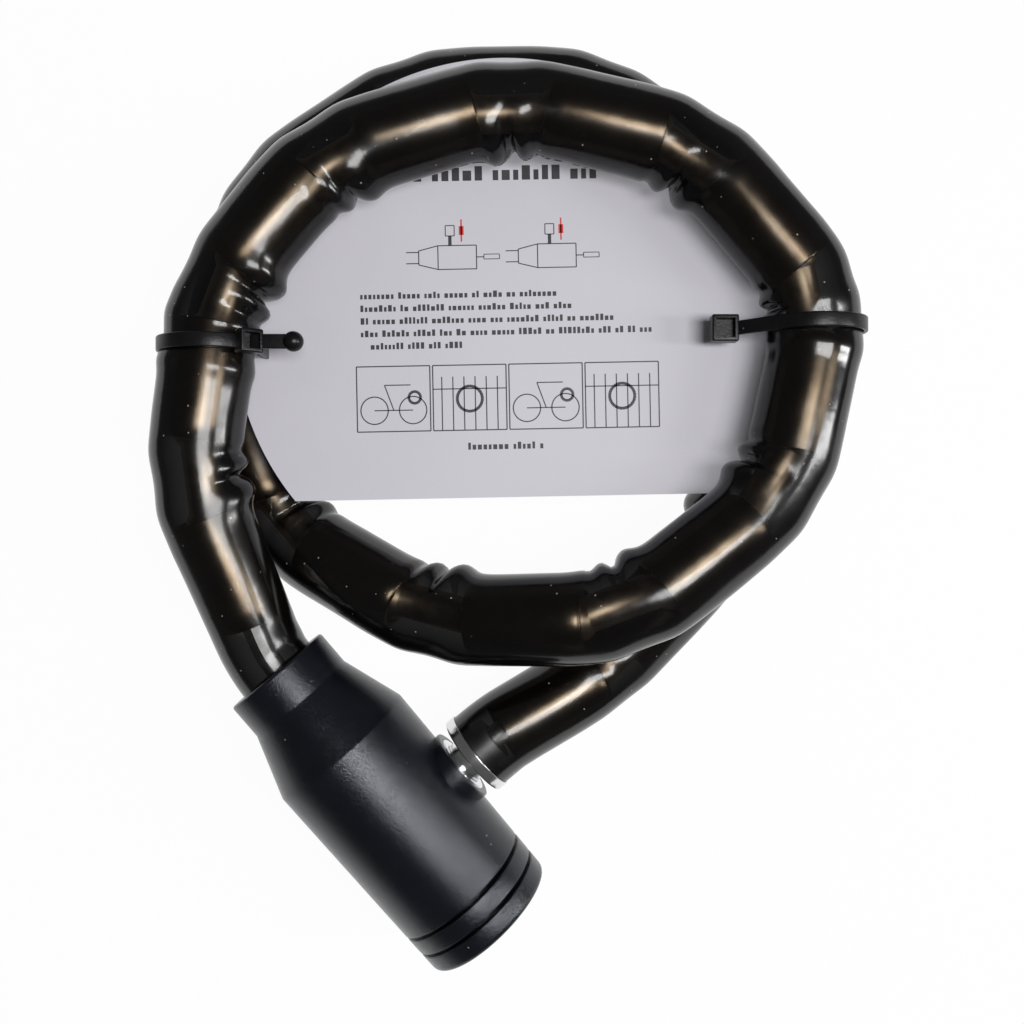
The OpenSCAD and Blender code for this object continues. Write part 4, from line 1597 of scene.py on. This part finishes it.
@dataclass
class InstructionCard:
    """The thin round card with one straight edge, and the plain marks printed on it."""

    finishes: Finishes
    centre: Pair = (0.3, 45.8)
    z_mm: float = 22.45
    thick_mm: float = 0.3
    radius_mm: float = 73.2
    cut_mm: float = 45.4
    turn_degrees: float = 1.1
    ink_mm: float = 0.03
    seed: int = 11

    def _frame(self) -> Matrix:
        """Gives the card's place."""
        return (Matrix.Translation(Vector((*self.centre, self.z_mm)) * MM)
                @ Matrix.Rotation(math.radians(self.turn_degrees), 4, "Z"))

    def make(self) -> None:
        """Builds the card and its print."""
        start = math.asin(-self.cut_mm / self.radius_mm)
        sweep = math.pi - 2 * start
        rim = [(self.radius_mm * math.cos(start + sweep * k / 160),
                self.radius_mm * math.sin(start + sweep * k / 160)) for k in range(161)]
        mesh = bmesh.new()
        low, high = ([mesh.verts.new((x * MM, y * MM, z * MM)) for x, y in rim]
                     for z in (0, self.thick_mm))
        mesh.faces.new(low[::-1])
        mesh.faces.new(high)
        loft(mesh, [low, high])
        mesh.transform(self._frame())
        make_piece("printed_card", mesh, self.finishes.card, Member.HOUSING,
                   "instruction_card")
        self._print()

    def _sketch(self, black: Pen, red: Pen, x: float, up: bool) -> None:
        """Prints a plain sketch of a lock beside a red mark.

        Args:
            black: the black print.
            red: the red print.
            x: the left end of the sketch.
            up: whether the mark points up.
        """
        black.box((x + 8.6, 16.4), (x + 19.0, 22.8), 0.28)
        for side in (-1, 1):
            black.bar((x + 3.4, 19.6 + side * 1.9), (x + 8.6, 19.6 + side * 3.2), 0.28)
            black.bar((x, 19.6 + side * 1.5), (x + 3.4, 19.6 + side * 1.5), 0.28)
        black.bar((x + 3.4, 17.7), (x + 3.4, 21.5), 0.28)
        black.bar((x + 19.0, 19.6), (x + 21.0, 19.6), 0.28)
        black.box((x + 21.0, 19.0), (x + 25.2, 20.3), 0.22)
        black.bar((x + 11.9, 22.8), (x + 11.9, 25.4), 0.9)
        black.box((x + 10.7, 25.4), (x + 13.1, 28.2), 0.25)
        foot, tip = (23.8, 29.8) if up else (29.8, 23.8)
        middle = (foot + tip) / 2
        red.bar((x + 15.0, foot), (x + 15.0, tip), 0.4)
        red.bar((x + 15.0, middle - 1.2), (x + 15.0, middle + 1.2), 1.3)

    def _panel(self, black: Pen, number: int) -> None:
        """Prints one of the four framed pictures.

        Args:
            black: the black print.
            number: which one, from the left; they are two kinds by turns.
        """
        x = -40.3 + 20.57 * number
        black.box((x, -27.1), (x + 19.8, -9.5), 0.32)
        middle = x + 9.9
        if number % 2 == 0:
            for side in (-1, 1):
                black.ring((middle + side * 5.2, -21.4), 3.7, 0.32)
            black.bar((x + 4.7, -21.4), (x + 15.1, -21.4))
            black.bar((x + 7.5, -14.6), (x + 14.5, -14.6))
            black.bar((middle, -21.4), (x + 7.5, -14.6))
            black.ring((x + 15.6, -18.0), 1.6, 0.75)
            return
        for k in range(6):
            black.bar((x + 2.4 + 3.0 * k, -27), (x + 2.4 + 3.0 * k, -12.6))
        black.bar((x, -15.9), (x + 19.8, -15.9))
        black.ring((middle, -18.6), 3.4, 0.8)

    def _print(self) -> None:
        """Prints plain blocks for text, four small frames and a few red marks."""
        dice = random.Random(self.seed)
        black, red = (Pen(self.thick_mm + self.ink_mm) for _ in range(2))
        black.words((-35, 40.2), 65, 3.9, dice)
        for row, length in enumerate((53.6, 57.5, 69.3, 79.6, 25.4)):
            start = (-38.9 + (2.6 if row == 4 else 0), 8.7 - 3.4 * row)
            black.words(start, length, 1.75, dice)
        black.words((-10.5, -32.4), 21.4, 1.9, dice)
        for x in (-26.3, 0.6):
            self._sketch(black, red, x, x > 0)
        for number in range(4):
            self._panel(black, number)
        for name, pen, ink in (("card_print", black, self.finishes.ink),
                               ("card_marks", red, self.finishes.red_ink)):
            pen.mesh.transform(self._frame())
            make_piece(name, pen.mesh, ink, Member.HOUSING)


# ---- Pieces kept as they are, and the studio ----

def dress_frame(frame: dict, finishes: Finishes) -> None:
    """Gives the inner pieces, whose shapes stay as they are, their finishes.

    Args:
        frame: the loaded frame.
        finishes: the lock's materials.
    """
    metals = {
        finishes.zinc: ("lock_body", "cable_anchor", "locking_bolt", "pin_ferrule"),
        finishes.brass: ("cylinder_shell", "plug", *(f"wafer_{k}" for k in range(1, 6))),
        finishes.spring: ("cylinder_pin", "anchor_pin", "plug_clip", "wafer_springs"),
        finishes.rope: ("core_rope",),
    }
    for metal, names in metals.items():
        for name in names:
            for slot in frame["nodes"][name].material_slots:
                slot.material = metal
    LOG.info("inner pieces dressed")


@dataclass(frozen=True)
class SoftLamp:
    """A four-sided lamp that looks at a point.

    Attributes:
        place: where it is.
        aim: the point that it looks at.
        sides: the lengths of its sides.
        watts: its power.
    """

    name: str
    place: Triple
    aim: Triple
    sides: Pair
    watts: float

    def make(self) -> None:
        """Hangs the lamp."""
        light = bpy.data.lights.new(self.name, "AREA")
        light.shape = "RECTANGLE"
        light.size, light.size_y = self.sides
        light.energy = self.watts
        lamp = in_scene(self.name, light)
        lamp.location = self.place
        way = Vector(self.aim) - Vector(self.place)
        lamp.rotation_euler = way.to_track_quat("-Z", "Y").to_euler()


@dataclass
class Studio:
    """The camera straight above, a white floor and soft lamps."""

    camera_at: Triple = (0.0022, -0.0036, 0.3)
    focal_px: float = 1027.0
    image_px: float = 1024.0
    sensor_mm: float = 36.0
    floor_side: float = 16.0
    paper: Colour = (0.9, 0.9, 0.9)
    whiteness: float = 0.96
    sky: float = 0.09
    lamps: tuple[SoftLamp, ...] = (
        SoftLamp("window", (0.26, -0.03, 0.80), (-0.02, -0.02, 0.02), (0.20, 0.40), 4.7),
        SoftLamp("right window", (0.86, -0.04, 0.50), (0.08, 0.02, 0.02), (0.09, 0.45), 3.4),
    )

    def place_camera(self) -> None:
        """Sets the camera up."""
        data = bpy.data.cameras.new("camera")
        data.sensor_width = self.sensor_mm
        data.lens = self.focal_px / self.image_px * self.sensor_mm
        data.clip_start = 0.01
        camera = in_scene("camera", data)
        camera.location = self.camera_at
        bpy.context.scene.camera = camera

    def make(self) -> None:
        """Lays the floor and hangs the lamps and the sky."""
        scene = bpy.context.scene
        scene.view_settings.view_transform = "Standard"
        world = bpy.data.worlds.new("sky")
        world.use_nodes = True
        ShaderSheet(world.node_tree).set(world.node_tree.nodes["Background"],
                                         Color=(1.0, 1.0, 1.0, 1), Strength=self.sky)
        scene.world = world
        for lamp in self.lamps:
            lamp.make()
        self._floor()
        LOG.info("studio")

    def _floor(self) -> None:
        """Lays the white floor, which keeps a faint shadow."""
        mesh = bmesh.new()
        bmesh.ops.create_grid(mesh, x_segments=1, y_segments=1, size=self.floor_side / 2)
        data = stored("floor", mesh)
        paper, sheet, shader = new_material("white floor")
        sheet.set(shader, Base_Color=(*self.paper, 1), Roughness=0.9)
        glow = sheet.add("ShaderNodeEmission", Strength=1.0)
        rays = sheet.add("ShaderNodeLightPath")
        seen = rays.outputs["Is Camera Ray"]
        for other in ("Is Glossy Ray", "Is Transmission Ray"):
            seen = sheet.math("MAXIMUM", seen, rays.outputs[other])
        mix = sheet.add("ShaderNodeMixShader", Fac=sheet.math("MULTIPLY", seen, self.whiteness))
        sheet.feed(mix.inputs[1], shader.outputs["BSDF"])
        sheet.feed(mix.inputs[2], glow.outputs["Emission"])
        sheet.feed(sheet.tree.nodes["Material Output"].inputs["Surface"], mix.outputs["Shader"])
        data.materials.append(paper)
        in_scene("floor", data)


def crossings(way: CableWay, y_mm: float) -> list[Pair]:
    """Gives where the cable's middle line crosses a plane of constant y, across and up, in mm.

    Args:
        way: the cable's line.
        y_mm: the plane.

    Returns:
        The crossings, from the housing on.
    """
    stations = way.stations()
    found = []
    for a, b in zip(stations, stations[1:]):
        low, high = a.point.y / MM - y_mm, b.point.y / MM - y_mm
        if low * high < 0:
            point = a.point.lerp(b.point, low / (low - high)) / MM
            found.append((point.x, point.z))
    return found


def main() -> None:
    """Builds the lock over its frame."""
    logging.basicConfig(level=logging.INFO, format="%(name)s: %(message)s")
    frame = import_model()
    studio = Studio()
    studio.place_camera()
    axes = HousingAxes.from_record(frame["record"])
    way = CableWay(axes)
    finishes = Finishes()
    LockHousing(axes, finishes).make()
    plugged = Connector(axes, finishes).make()
    ArmouredCable(way, finishes).make(plugged)
    left_y, right_y = TIE_PLANES_MM
    left = crossings(way, left_y)
    CableTie("nylon_tie_left", "cable_tie_left", left_y, left[0], left[2], finishes).make()
    right = crossings(way, right_y)
    across, up = RIGHT_TURN_MM
    CableTie("nylon_tie_right", "cable_tie_right", right_y, right[1], right[3], finishes,
             turn=(right[3][0] + across, up), head_mm=7.0).make()
    InstructionCard(finishes).make()
    dress_frame(frame, finishes)
    studio.make()


if __name__ == "__main__":
    main()
